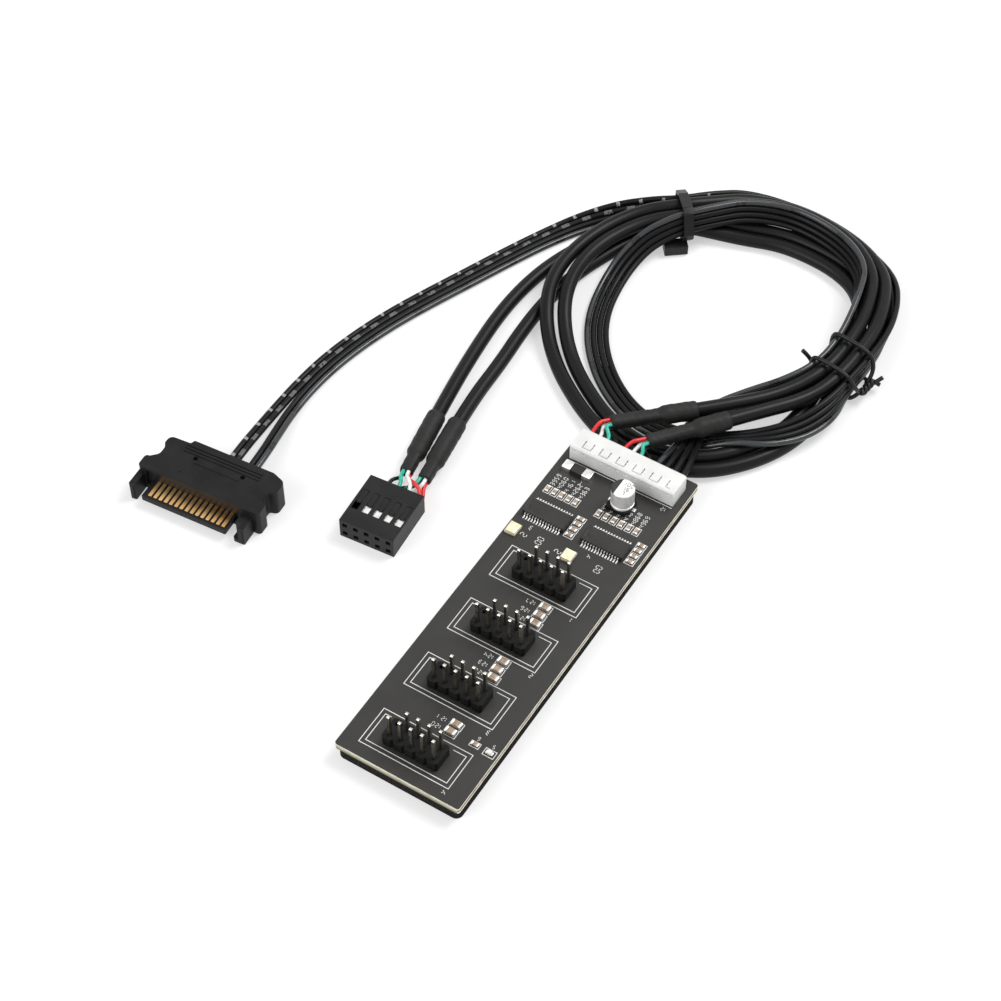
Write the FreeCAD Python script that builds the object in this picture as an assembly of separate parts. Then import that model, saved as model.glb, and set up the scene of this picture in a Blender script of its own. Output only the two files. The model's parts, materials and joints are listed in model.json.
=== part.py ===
import FreeCAD, Part
import math
import os

# Internal hub: a header board on a foam pad, with a socket housing and a power plug on cords.
# Millimetres, +Z up. The origin is the centre of the foam pad's underside, the board's
# length runs along Y and its wire connector is at the +Y end.

os.makedirs("parts", exist_ok=True)
V = FreeCAD.Vector
UP = V(0, 0, 1)

# Board and the foam pad under it
BOARD_WIDTH = 28.3
BOARD_LENGTH = 92.7
BOARD_THICKNESS = 1.6
BOARD_CORNER = 0.6
NEAR_END = -BOARD_LENGTH / 2
FAR_END = BOARD_LENGTH / 2
RIGHT_SIDE = BOARD_WIDTH / 2
CHIP_ROW_INSET = 23.9
CHIP_ROW_Y = FAR_END - CHIP_ROW_INSET
FOAM_SIDE_INSET = 0.2
FOAM_END_INSET = 0.35
FOAM_WIDTH = BOARD_WIDTH - 2 * FOAM_SIDE_INSET
FOAM_LENGTH = BOARD_LENGTH - 2 * FOAM_END_INSET
FOAM_THICKNESS = 3.0
FOAM_CORNER = 1.5
BOARD_TOP = FOAM_THICKNESS + BOARD_THICKNESS
FOAM_POCKET_MARGIN = 0.8
FOAM_POCKET_SPARE = 0.4

# Pin headers: two rows of five, the first place of the back row left empty
PIN_PITCH = 2.54
PIN_SIZE = 0.64
PIN_TIP = 0.18
PIN_RISE = 8.5
PIN_TAIL = 1.2
PIN_HOLE = 1.0
HEADER_COLUMNS = 5
HEADER_ROWS = 2
HEADER_BASE_HEIGHT = 2.54
HEADER_NOTCH = 0.45
HEADERS = 4
HEADER_X = -0.2
HEADER_END_MARGIN = 7.3
HEADER_CHIP_GAP = 14.55
FIRST_HEADER_Y = CHIP_ROW_Y - HEADER_CHIP_GAP
LAST_HEADER_Y = NEAR_END + HEADER_END_MARGIN
HEADER_SPACING = (FIRST_HEADER_Y - LAST_HEADER_Y) / (HEADERS - 1)
HEADER_YS = [LAST_HEADER_Y + HEADER_SPACING * place for place in reversed(range(HEADERS))]

# Right-angle wire connector: white wafer on the board and the plug pushed into it
WAYS = 12
WAFER_WIDTH = 24.9
WAFER_END_MARGIN = 1.45
WAY_PITCH = (WAFER_WIDTH - 2 * WAFER_END_MARGIN) / (WAYS - 1)
WAFER_INSET = 8.05
WAFER_FRONT = FAR_END - WAFER_INSET
WAFER_DEPTH = 5.5
WAFER_HEIGHT = 4.2
WAFER_SIDE_WALL = 0.5
WAFER_BACK_WALL = 1.9
WAFER_FLOOR = 0.8
WAFER_ROOF = 0.4
WAFER_CHAMFER = 0.4
WAFER_SLIT = (0.25, 2.1, 0.5)
WAFER_SLIT_START = 0.8
WAFER_NOTCH = (0.8, 0.4, 0.4)
WAFER_NOTCH_DROP = 0.9
WAFER_PIN = 0.5
WAFER_PIN_INSET = 0.9
WAFER_PIN_REACH = 4.1
PLUG_CLEARANCE = 0.1
PLUG_FRONT_GAP = 0.2
PLUG_STAND_OUT = 0.5
PLUG_BORE = 1.5
PLUG_TERMINAL_LENGTH = 2.4
PLUG_TERMINAL_INSET = 0.2

# Hub chips: gull-wing leads on both long sides
CHIP_SIZE = (9.9, 3.9, 1.4)
CHIP_STANDOFF = 0.15
CHIP_BEVEL = 0.25
CHIP_CENTRES = [(-8.1, CHIP_ROW_Y), (5.75, CHIP_ROW_Y)]
CHIP_MARK_RADIUS = 0.4
CHIP_MARK_INSET = 1.05
CHIP_MARK_DEPTH = 0.06
LEADS_PER_SIDE = 14
LEAD_PITCH = 0.635
LEAD_WIDTH = 0.28
LEAD_THICKNESS = 0.2
LEAD_SHOULDER = 0.65
LEAD_HEEL = 0.4
LEAD_SLOPE = 0.2
LEAD_SPAN = 6.3

# Crystals, capacitor can and the two-terminal parts
CRYSTAL_BASE = (2.6, 3.0, 0.6)
CRYSTAL_LID = (2.2, 2.6, 0.25)
CRYSTAL_DROP = 6.6
CRYSTAL_CENTRES = [(-12.4, CHIP_ROW_Y - CRYSTAL_DROP), (0.8, CHIP_ROW_Y - CRYSTAL_DROP - 0.05)]
CAN_INSET = 13.05
CAN_CENTRE = (3.3, FAR_END - CAN_INSET)
CAN_DIAMETER = 5.0
CAN_HEIGHT = 4.8
CAN_ROUND = 0.4
CAN_GROOVE = (0.7, 0.25)
CAN_BASE_SIDE = 5.3
CAN_BASE_HEIGHT = 0.8
CAN_BASE_CHAMFER = 1.1
CAN_TERMINAL = (1.6, 0.8, 0.15)
CAN_TERMINAL_REACH = 3.2
INPUT_INSET = 10.45
INPUT_CENTRE = (-8.9, FAR_END - INPUT_INSET)
INPUT_SIZE = (6.8, 2.3, 1.2)
INPUT_END = 2.0
PORT_CAPACITOR_SIZE = (2.3, 1.4, 0.95)
PORT_CAPACITOR_END = 0.5
# For the space behind each header but the first: x of its capacitors and their distance from its middle
PORT_CAPACITOR_PLACES = [
    [(3.6, 2.075), (3.6, -0.175), (3.95, -2.325)],
    [(3.45, 2.175), (3.45, -0.025), (3.8, -2.125)],
    [(3.6, 0.625), (3.5, -1.375)],
]
PORT_CAPACITOR_CENTRES = []
for header_y, places in zip(HEADER_YS[1:], PORT_CAPACITOR_PLACES):
    for x, offset in places:
        PORT_CAPACITOR_CENTRES.append((x, header_y + HEADER_SPACING / 2 + offset))
SMALL_CHIP_SIZE = (1.6, 0.85, 0.5)
SMALL_CHIP_END = 0.35
SMALL_CHIP_ROW_RISE = 6.25
SMALL_CHIP_ROW_Y = CHIP_ROW_Y + SMALL_CHIP_ROW_RISE
SMALL_CHIP_COLUMN_SPACING = 1.6
# X and distance above the chips' middle of the first part in each column
SMALL_CHIP_COLUMNS = [(-1.9, 2.95), (12.1, 3.55)]
SMALL_CHIPS_ALONG_Y = [(-11.9 + 1.7 * place, SMALL_CHIP_ROW_Y) for place in range(5)]
SMALL_CHIPS_ALONG_Y += [(0.4 + 1.8 * place, SMALL_CHIP_ROW_Y) for place in range(6)]
LIGHT_INSET = 1.75
LIGHT_RISE = 6.45
LIGHT_CENTRE = (RIGHT_SIDE - LIGHT_INSET, LAST_HEADER_Y + LIGHT_RISE)
LIGHT_CHIP_OFFSET = (-3.4, 0.2)
SMALL_CHIPS_ALONG_X = [(LIGHT_CENTRE[0] + LIGHT_CHIP_OFFSET[0], LIGHT_CENTRE[1] + LIGHT_CHIP_OFFSET[1])]
for column_x, column_rise in SMALL_CHIP_COLUMNS:
    for place in range(4):
        column_y = CHIP_ROW_Y + column_rise - SMALL_CHIP_COLUMN_SPACING * place
        SMALL_CHIPS_ALONG_X.append((column_x, column_y))
LIGHT_BASE = (0.9, 0.85, 0.3)
LIGHT_LENS = (0.9, 0.85, 0.4)
LIGHT_END = (0.35, 0.85, 0.35)
CHIP_BODY_INSET = 0.04

# Cords
CABLE_DIAMETER = 3.2
CONDUCTOR_DIAMETER = 1.28
CONDUCTOR_PITCH = 1.4
CONDUCTOR_PLACES = [-1.5, -0.5, 0.5, 1.5]
WIRE_DIAMETER = 0.85
WIRE_SPACING = 1.0
BEND_SHARE = 0.45
LOW = CABLE_DIAMETER / 2 + 0.02
RIBBON_LOW = CONDUCTOR_DIAMETER / 2 + 0.02

# Heat-shrink sleeves over the ends of the two cables
SLEEVE_WALL = 0.5
SLEEVE_STEP = 1.4
SLEEVE_SHOULDER = 0.3
SLEEVE_BORE = 2.5
SLEEVE_NECK = 3.1
SOCKET_SLEEVE_OVER_CABLE = 12.0
SOCKET_SLEEVE_OVER_WIRES = 5.5
BOARD_SLEEVE_OVER_CABLE = 7.3
BOARD_SLEEVE_OVER_WIRES = 11.7
WIRE_LEAD_OUT = 1.2
BOARD_WIRE_STRAIGHT = 1.3
SOCKET_WIRE_STRAIGHT = 1.3
WIRE_COLOURS = ["red", "white", "green", "black"]
# Rise of the loose wires halfway along them: at the board, and to each row of the socket
BOARD_ARCH = {"red": 0.3, "white": 1.3, "green": 0.3, "black": -0.7}
SOCKET_ARCH = [
    {"red": 0.2, "white": 0.3, "green": 0.6, "black": -0.5},
    {"red": 1.5, "white": 1.6, "green": 1.2, "black": 0.3},
]

# Socket housing at the free end of the two cables
SOCKET_CENTRE = (-38.1, 5.9)
SOCKET_TURN = 4.8
SOCKET_LENGTH = 13.5
SOCKET_WIDTH = HEADER_COLUMNS * PIN_PITCH
SOCKET_HEIGHT = 5.2
SOCKET_BORE = 1.9
SOCKET_MOUTH = 1.1
SOCKET_FACE = 1.0
SOCKET_WINDOW = (1.5, 2.0)
SOCKET_WINDOW_START = 4.0
SOCKET_LATCH = 3.6
SOCKET_LATCH_GROOVE = 0.2
SOCKET_LATCH_DEPTH = 0.25
SOCKET_EMPTY_COLUMN = 0
TERMINAL_BOX = 7.0
TERMINAL_WALL = 0.25
TERMINAL_CRIMP = 3.0
TERMINAL_CRIMP_DIAMETER = 1.5

# Power plug at the free end of the four power conductors
POWER_CENTRE = (-73.0, -6.0)
POWER_TURN = 4.8
POWER_HEIGHT = 6.6
FLANGE_LEFT = -14.5
FLANGE_RIGHT = 14.8
FLANGE_FRONT = -5.3
FLANGE_BACK = -2.0
FLANGE_ROUND = 0.8
RECESS_DEPTH = 0.6
RECESS_FLOOR = 1.4
RECESS_ROOF = 5.8
RECESS_LEFT = -12.6
RECESS_RIGHT = 9.6
TONGUE_LEFT = -11.4
TONGUE_RIGHT = 8.9
TONGUE_TIP = -9.6
TONGUE_THICKNESS = 1.3
TONGUE_CHAMFER = 0.2
LEFT_PRONG = (-14.5, -13.1)
RIGHT_PRONG = (10.6, 13.2)
RIGHT_PRONG_NOTCH = (1.4, 1.7, 1.4)
PRONG_TIP = -9.4
PRONG_HEIGHT = 4.8
PRONG_CHAMFER = 0.4
CONTACTS = 15
CONTACT_PITCH = 1.27
CONTACT_CENTRE = -0.9
CONTACT_WIDTH = 0.75
CONTACT_THICKNESS = 0.2
CONTACT_SETBACK = 0.8
COVER_BACK = 5.8
# Waisted outline of the cover as (x, y, corner radius)
COVER_OUTLINE = [
    (-13.6, FLANGE_BACK, 0), (-12.0, -0.6, 1.6), (-12.0, 1.4, 1.0), (-12.7, 2.6, 0.8),
    (-12.6, 4.6, 1.2), (-7.7, 4.8, 0.3), (-7.3, COVER_BACK, 0.4), (12.0, COVER_BACK, 1.5),
    (15.2, 4.6, 1.4), (15.2, 1.2, 1.0), (13.4, 0.6, 0.6), (13.4, -0.8, 1.0), (13.9, FLANGE_BACK, 0),
]
RIDGE_LEFT = -8.0
RIDGE_RIGHT = 10.2
RIDGE_WIDTH = 0.45
RIDGE_HEIGHT = 0.2
RIDGE_YS = [2.7, 3.5, 4.3]
COVER_LINE = (-4.3, 6.6, 0.45, 0.7)
COVER_LINE_HEIGHT = 0.12
COVER_HOLES = [(-4.6, 1.65), (6.8, 1.75)]
COVER_HOLE_DIAMETER = 1.1
COVER_HOLE_DEPTH = 0.8
FLANGE_MARK = [(-6.2, -3.2), (-5.0, -3.2), (-5.6, -2.4)]
FLANGE_MARK_DEPTH = 0.15
POWER_EXIT_X = 3.5
POWER_EXIT_Z = 3.5
POWER_PAIR_SPREAD = 0.7
POWER_BORE_DEPTH = 2.5
POWER_BORE_CLEARANCE = 0.2
POWER_STRAIGHT = 5.0

# Ties round the coiled cords
STRAP_WIDTH = 2.3
STRAP_THICKNESS = 0.8
STRAP_HEAD = (5.4, 3.0, 2.4)
STRAP_HEAD_SEAT = 0.9
STRAP_HEAD_SHIFT = 2.9
STRAP_HEAD_LOW = 0.3
TWIST_SKEW = 0.9
TWIST_DIAMETER = 0.95
TWIST_LOW = TWIST_DIAMETER / 2 + 0.02

# Coil stations: centre on the floor and the bearing of the coil's outer side in degrees
STATIONS = {
    "left_1": (-39.0, 100.3, 160.0),
    "left_2": (-34.3, 108.5, 144.0),
    "upper_tie": (-27.3, 114.0, 128.5),
    "far_0": (-22.0, 119.4, 122.0),
    "far_1": (-16.6, 124.6, 114.0),
    "far_2": (-7.0, 128.4, 98.0),
    "far_3": (2.8, 128.0, 79.0),
    "far_4": (11.6, 125.1, 63.0),
    "far_5": (18.6, 119.9, 43.0),
    "side_1": (22.4, 112.4, 24.0),
    "side_2": (24.7, 104.4, 6.0),
    "wrap_1": (25.0, 95.9, -7.0),
    "wrap_2": (24.0, 87.4, -7.0),
}


def coil(station, out, up):
    """Point beside a coil station: distance towards the coil's outer side, and height."""
    x, y, bearing = STATIONS[station]
    angle = math.radians(bearing)
    return V(x + out * math.cos(angle), y + out * math.sin(angle), up)


# Routes from the free end to the board, one and a half turns round the coil
OUTER_ROUTE = [
    V(-41.2, 23.2, 2.75), V(-44.9, 42.0, 2.1), V(-47.1, 56.0, LOW), V(-48.3, 68.0, LOW),
    V(-48.0, 79.0, LOW), V(-46.0, 89.2, LOW), V(-41.8, 99.6, LOW),
    coil("left_2", 1.8, 1.9), coil("upper_tie", 1.7, 2.9), coil("far_0", -1.2, 2.1),
    coil("far_1", -4.6, 1.65), coil("far_2", -6.2, LOW), coil("far_3", -6.2, LOW),
    coil("far_4", -5.0, LOW), coil("far_5", -2.2, LOW), coil("side_1", 0.9, LOW),
    coil("side_2", 1.7, 1.9), coil("wrap_1", 1.7, 3.05), coil("wrap_2", 1.7, 3.05),
    V(25.7, 79.4, 1.8), V(25.0, 72.0, LOW), V(22.6, 65.0, LOW), V(18.6, 58.6, LOW),
    V(13.2, 53.0, LOW), V(6.8, 49.5, LOW), V(-0.5, 48.4, LOW), V(-7.8, 49.1, LOW),
    V(-14.8, 51.6, LOW), V(-21.9, 55.7, LOW), V(-29.0, 60.9, LOW), V(-35.2, 67.0, 2.6),
    V(-39.8, 73.8, 4.7), V(-42.6, 81.6, 5.3), V(-42.9, 91.0, 5.2),
    coil("left_1", 1.7, 5.15), coil("left_2", 1.7, 5.6), coil("upper_tie", 1.7, 6.3),
    coil("far_0", 1.9, 5.3), coil("far_1", 2.0, 4.5), coil("far_2", 2.0, 3.3),
    coil("far_3", 2.0, 3.0), coil("far_4", 2.4, 3.0), coil("far_5", 2.7, 3.7),
    coil("side_1", 2.2, 4.7), coil("side_2", 1.8, 5.5), coil("wrap_1", 1.75, 6.45),
    coil("wrap_2", 1.75, 6.4), V(22.6, 79.0, 5.2), V(15.2, 68.9, 6.0), V(7.2, 58.1, 6.7),
]
INNER_ROUTE = [
    V(-36.8, 23.8, 2.5), V(-39.6, 42.0, 2.1), V(-40.3, 55.5, LOW), V(-41.4, 66.5, LOW),
    V(-41.6, 77.0, LOW), V(-40.2, 87.8, LOW), V(-37.0, 98.0, LOW),
    coil("left_2", -1.8, 1.9), coil("upper_tie", -1.7, 2.9), coil("far_0", -4.9, 2.1),
    coil("far_1", -8.2, LOW), coil("far_2", -9.9, LOW), coil("far_3", -9.9, LOW),
    coil("far_4", -8.6, LOW), coil("far_5", -5.7, LOW), coil("side_1", -2.6, LOW),
    coil("side_2", -1.75, 1.9), coil("wrap_1", -1.7, 3.05), coil("wrap_2", -1.7, 3.05),
    V(22.2, 79.8, 1.8), V(21.5, 73.0, LOW), V(19.3, 66.6, LOW), V(15.7, 60.8, LOW),
    V(10.9, 55.8, LOW), V(5.2, 52.8, LOW), V(-1.2, 51.9, LOW), V(-7.6, 52.7, LOW),
    V(-13.6, 55.0, LOW), V(-20.2, 58.9, LOW), V(-26.9, 64.0, 1.7), V(-32.5, 69.8, 3.0),
    V(-36.7, 76.4, 4.9), V(-39.0, 84.0, 5.4), V(-39.3, 92.2, 5.2),
    coil("left_1", -1.7, 5.15), coil("left_2", -1.7, 5.6), coil("upper_tie", -1.7, 6.3),
    coil("far_0", -1.5, 6.2), coil("far_1", -1.0, 6.1), coil("far_2", -0.4, 5.5),
    coil("far_3", -0.3, 5.5), coil("far_4", -0.2, 5.3), coil("far_5", -0.4, 5.2),
    coil("side_1", -1.1, 5.4), coil("side_2", -1.65, 5.8), coil("wrap_1", -1.75, 6.45),
    coil("wrap_2", -1.75, 6.4), V(17.4, 77.9, 4.9), V(9.2, 67.7, 5.9), V(-0.8, 57.6, 6.6),
]
# Power ribbon: its middle line, with the lean of its flat side in degrees at each point
RIBBON_ROUTE = [
    (V(-71.7, 11.8, 2.2), 0), (V(-72.9, 19.2, 1.0), 0),
    (V(-73.3, 27.6, RIBBON_LOW), 0), (V(-72.6, 37.0, RIBBON_LOW), 0),
    (V(-70.6, 46.8, RIBBON_LOW), 0), (V(-67.8, 56.2, RIBBON_LOW), 0), (V(-64.3, 65.4, RIBBON_LOW), 0),
    (V(-60.4, 75.0, RIBBON_LOW), 0), (V(-56.5, 84.8, RIBBON_LOW), 0), (V(-52.5, 94.0, 0.7), 0),
    (V(-47.8, 102.4, 1.1), 10), (V(-41.8, 109.0, 2.1), 38), (V(-35.6, 113.9, 3.0), 70),
    (coil("upper_tie", 4.2, 4.0), 90), (coil("far_0", 4.3, 3.1), 70), (coil("far_1", 3.9, 2.1), 42),
    (coil("far_2", 3.0, 1.0), 8), (coil("far_3", 2.6, RIBBON_LOW), 0), (coil("far_4", 2.8, RIBBON_LOW), 0),
    (coil("far_5", 3.6, 1.6), 24), (coil("side_1", 4.2, 2.5), 58), (coil("side_2", 4.3, 3.2), 80),
    (coil("wrap_1", 4.3, 4.1), 90), (coil("wrap_2", 4.4, 4.3), 98), (V(28.0, 79.0, 4.7), 130),
    (V(25.2, 71.4, 4.4), 160), (V(20.0, 65.2, 4.5), 182), (V(13.4, 62.4, 3.1), 208),
    (V(6.8, 59.4, 0.8), 182), (V(0.8, 57.9, RIBBON_LOW), 180), (V(-5.4, 57.9, RIBBON_LOW), 180),
    (V(-11.4, 59.8, RIBBON_LOW), 180), (V(-17.4, 63.5, RIBBON_LOW), 180), (V(-22.9, 68.6, RIBBON_LOW), 180),
    (V(-27.4, 74.6, RIBBON_LOW), 180), (V(-30.5, 81.4, RIBBON_LOW), 180), (V(-32.1, 88.8, 0.78), 182),
    (V(-32.4, 96.2, 2.2), 200), (V(-30.8, 102.6, 4.3), 220), (V(-27.8, 107.2, 5.8), 236),
    (coil("upper_tie", -4.1, 6.7), 245), (coil("far_0", -3.9, 6.8), 244),
    (coil("far_1", -3.6, 6.6), 242), (coil("far_2", -3.0, 5.9), 242),
    (coil("far_3", -2.9, 5.8), 242), (coil("far_4", -2.9, 5.9), 245),
    (coil("far_5", -3.0, 6.2), 252), (coil("side_1", -3.7, 6.2), 263),
    (coil("side_2", -4.2, 5.6), 270), (coil("wrap_1", -4.4, 5.0), 270),
    (coil("wrap_2", -4.5, 4.6), 272), (V(16.2, 80.5, 3.8), 280), (V(11.6, 74.6, 2.9), 298),
    (V(7.4, 68.0, 2.6), 332), (V(5.2, 61.5, 2.75), 360), (V(6.6, 55.2, 3.7), 360),
    (V(7.4, 50.0, 5.5), 360),
]
# Extra spread of the four conductors, in pitches, at the first points of the ribbon
RIBBON_FAN_OUT = [0.45, 0.15]
# Spacing of the four conductors at the last point, and their straight run behind the plug
RIBBON_LAST_SPACING = 1.75
CONDUCTOR_STRAIGHT = 1.7

# Outlines of the tie loops as (out, up) round the bundle
STRAP_LOOP = [
    (-3.4, 1.0), (4.5, 1.0), (5.2, 1.6), (5.3, 6.6), (2.5, 8.3),
    (-3.2, 9.6), (-4.3, 9.2), (-6.3, 5.0), (-6.1, 4.0),
]
TWIST_LOOP = [
    (0.4, TWIST_LOW), (5.0, TWIST_LOW), (6.2, 2.0), (6.2, 6.4), (3.0, 8.8),
    (-4.2, 8.9), (-6.3, 7.4), (-6.3, 1.9), (-4.8, TWIST_LOW), (-0.4, TWIST_LOW),
]
TWIST_ENDS = [
    (9.6, 5.8), (7.8, 4.8), (6.4, 6.4), (3.0, 8.8), (-4.2, 8.9), (-6.3, 7.2),
    (-6.3, 1.9), (-4.8, TWIST_LOW), (4.8, TWIST_LOW), (6.5, 1.7), (7.8, 3.2), (9.8, 3.6),
]


def box(x0, x1, y0, y1, z0, z1):
    """Block between two corners."""
    return Part.makeBox(x1 - x0, y1 - y0, z1 - z0, V(x0, y0, z0))


def block(x, y, z, size):
    """Block centred on x and y, standing on z."""
    return box(x - size[0] / 2, x + size[0] / 2, y - size[1] / 2, y + size[1] / 2, z, z + size[2])


def rounded_slab(width, length, z0, z1, radius):
    """Centred slab with rounded upright edges."""
    slab = box(-width / 2, width / 2, -length / 2, length / 2, z0, z1)
    return slab.makeFillet(radius, upright_edges(slab))


def upright_edges(shape):
    """Straight edges that run along Z."""
    found = []
    for edge in shape.Edges:
        first, last = edge.Vertexes[0].Point, edge.Vertexes[-1].Point
        if abs(first.x - last.x) < 1e-6 and abs(first.y - last.y) < 1e-6:
            found.append(edge)
    return found


def edges_at_y(shape, y):
    """Edges that lie in the upright plane at y."""
    return [edge for edge in shape.Edges if all(abs(v.Point.y - y) < 1e-6 for v in edge.Vertexes)]


def prism(points, height):
    """Straight prism over a closed outline of vectors."""
    return Part.Face(Part.makePolygon(points + points[:1])).extrude(height)


def rounded_prism(corners, low, high):
    """Upright prism over an outline of (x, y, corner radius)."""
    solid = prism([V(x, y, low) for x, y, radius in corners], UP * (high - low))
    for x, y, radius in corners:
        if radius:
            corner = V(x, y, (low + high) / 2)
            edge = min(upright_edges(solid), key=lambda found: found.BoundBox.Center.distanceToPoint(corner))
            solid = solid.makeFillet(radius, [edge])
    return solid


def placed(shape, centre, turn):
    """Copy of a shape turned about Z and moved to a centre on the floor."""
    moved = shape.copy()
    moved.Placement = FreeCAD.Placement(V(centre[0], centre[1], 0), FreeCAD.Rotation(UP, turn))
    return moved


def placed_point(point, centre, turn):
    """A point carried along with placed()."""
    return FreeCAD.Placement(V(centre[0], centre[1], 0), FreeCAD.Rotation(UP, turn)).multVec(point)


def save(node, solids):
    """Write one node: a single solid or a group of separate solids."""
    shapes = solids if isinstance(solids, list) else [solids]
    shape = shapes[0] if len(shapes) == 1 else Part.makeCompound(shapes)
    shape.exportStep("parts/" + node + ".step")


def joined(solids):
    """One solid from touching solids."""
    return solids[0].multiFuse(solids[1:]).removeSplitter()


def rounded_path(points):
    """Straight runs joined by tangent arcs; returns the wire and the smallest arc radius."""
    edges = []
    smallest = None
    start = points[0]
    for before, corner, after in zip(points, points[1:], points[2:]):
        arriving = (corner - before).normalize()
        leaving = (after - corner).normalize()
        reach = BEND_SHARE * min(corner.distanceToPoint(before), corner.distanceToPoint(after))
        half_turn = arriving.getAngle(leaving) / 2
        radius = reach / math.tan(half_turn)
        towards = (leaving - arriving).normalize()
        middle = corner + towards * (radius / math.cos(half_turn) - radius)
        arc_start = corner - arriving * reach
        arc_end = corner + leaving * reach
        edges.append(Part.LineSegment(start, arc_start).toShape())
        edges.append(Part.Arc(arc_start, middle, arc_end).toShape())
        smallest = radius if smallest is None else min(smallest, radius)
        start = arc_end
    edges.append(Part.LineSegment(start, points[-1]).toShape())
    return Part.Wire(edges), smallest


def tube(points, diameter, name=None):
    """Round solid along a rounded path; named ones print their length and smallest radius."""
    path, smallest = rounded_path(points)
    circle = Part.Wire(Part.Circle(points[0], points[1] - points[0], diameter / 2).toShape())
    solid = path.makePipeShell([circle], True, False)
    if name:
        expected = math.pi * diameter ** 2 / 4 * path.Length
        print(name, "length %.1f" % path.Length, "radius %.1f" % smallest,
              "volume ratio %.4f" % (solid.Volume / expected))
    return Part.Solid(solid)


def square_pin(x, y, z0, z1):
    """Upright square pin with a tapered tip at both ends."""
    pin = block(x, y, z0, (PIN_SIZE, PIN_SIZE, z1 - z0))
    ends = []
    for edge in pin.Edges:
        heights = [vertex.Point.z for vertex in edge.Vertexes]
        if abs(heights[0] - heights[1]) < 1e-6:
            ends.append(edge)
    return pin.makeChamfer(PIN_TIP, ends)


def header_places(centre_y):
    """Centres of the header places, front row first, each row from the left."""
    places = []
    for row in range(HEADER_ROWS):
        for column in range(HEADER_COLUMNS):
            x = HEADER_X + (column - (HEADER_COLUMNS - 1) / 2) * PIN_PITCH
            y = centre_y + (row - (HEADER_ROWS - 1) / 2) * PIN_PITCH
            places.append((x, y))
    return places


def header_pin_places(centre_y):
    """Places that carry a pin: all but the first one of the back row."""
    places = header_places(centre_y)
    empty = HEADER_COLUMNS
    return places[:empty] + places[empty + 1:]


def header_base(centre_y):
    """Notched plastic base with a square hole at every place."""
    width = HEADER_COLUMNS * PIN_PITCH
    depth = HEADER_ROWS * PIN_PITCH
    base = block(HEADER_X, centre_y, BOARD_TOP, (width, depth, HEADER_BASE_HEIGHT))
    cuts = []
    for column in range(HEADER_COLUMNS + 1):
        x = HEADER_X + (column - HEADER_COLUMNS / 2) * PIN_PITCH
        for y in (centre_y - depth / 2, centre_y + depth / 2):
            notch = [
                V(x - HEADER_NOTCH, y, BOARD_TOP), V(x, y - HEADER_NOTCH, BOARD_TOP),
                V(x + HEADER_NOTCH, y, BOARD_TOP), V(x, y + HEADER_NOTCH, BOARD_TOP),
            ]
            cuts.append(prism(notch, UP * HEADER_BASE_HEIGHT))
    for x, y in header_places(centre_y):
        cuts.append(block(x, y, BOARD_TOP, (PIN_SIZE, PIN_SIZE, HEADER_BASE_HEIGHT)))
    return base.cut(cuts)


def way_x(way):
    """Place of a connector way along X, counted from the left."""
    return (way - (WAYS - 1) / 2) * WAY_PITCH


def wafer_pin(way):
    """Bent pin: down into the board and back into the plug."""
    half = WAFER_PIN / 2
    leg_y = WAFER_FRONT + WAFER_PIN_INSET
    x = way_x(way)
    low = FOAM_THICKNESS - PIN_TAIL
    reach = WAFER_FRONT + WAFER_PIN_REACH
    leg = box(x - half, x + half, leg_y - half, leg_y + half, low, WAY_Z + half)
    arm = box(x - half, x + half, leg_y, reach, WAY_Z - half, WAY_Z + half)
    return joined([leg, arm])


def chip_lead(x, y, side):
    """Gull-wing lead of a chip centred on y; side is -1 for the near row and 1 for the far row."""
    root = CHIP_SIZE[1] / 2
    toe = LEAD_SPAN / 2
    heel = root + LEAD_HEEL
    profile = [
        (root, LEAD_SHOULDER), (heel - LEAD_SLOPE, LEAD_SHOULDER), (heel, 0), (toe, 0),
        (toe, LEAD_THICKNESS), (heel + LEAD_SLOPE, LEAD_THICKNESS),
        (heel, LEAD_SHOULDER + LEAD_THICKNESS), (root, LEAD_SHOULDER + LEAD_THICKNESS),
    ]
    outline = [V(x - LEAD_WIDTH / 2, y + side * out, BOARD_TOP + up) for out, up in profile]
    return prism(outline, V(LEAD_WIDTH, 0, 0))


def chip_body(x, y):
    """Moulded chip body with bevelled top edges and a shallow mark for its first lead."""
    body = block(x, y, BOARD_TOP + CHIP_STANDOFF, CHIP_SIZE)
    top = BOARD_TOP + CHIP_STANDOFF + CHIP_SIZE[2]
    rim = [edge for edge in body.Edges if all(abs(v.Point.z - top) < 1e-6 for v in edge.Vertexes)]
    body = body.makeChamfer(CHIP_BEVEL, rim)
    mark = V(x - CHIP_SIZE[0] / 2 + CHIP_MARK_INSET, y - CHIP_SIZE[1] / 2 + CHIP_MARK_INSET,
             top - CHIP_MARK_DEPTH)
    return body.cut(Part.makeCylinder(CHIP_MARK_RADIUS, CHIP_MARK_DEPTH, mark))


def two_terminal(x, y, size, end, along_x):
    """Body and the two ends of a surface part whose length runs along X or along Y."""
    length, width, height = size
    middle = length - 2 * end
    inset_width = width - 2 * CHIP_BODY_INSET
    inset_height = height - CHIP_BODY_INSET
    if along_x:
        body = block(x, y, BOARD_TOP, (middle, inset_width, inset_height))
    else:
        body = block(x, y, BOARD_TOP, (inset_width, middle, inset_height))
    ends = []
    for side in (-1, 1):
        shift = side * (length - end) / 2
        if along_x:
            ends.append(block(x + shift, y, BOARD_TOP, (end, width, height)))
        else:
            ends.append(block(x, y + shift, BOARD_TOP, (width, end, height)))
    return body, ends


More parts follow.
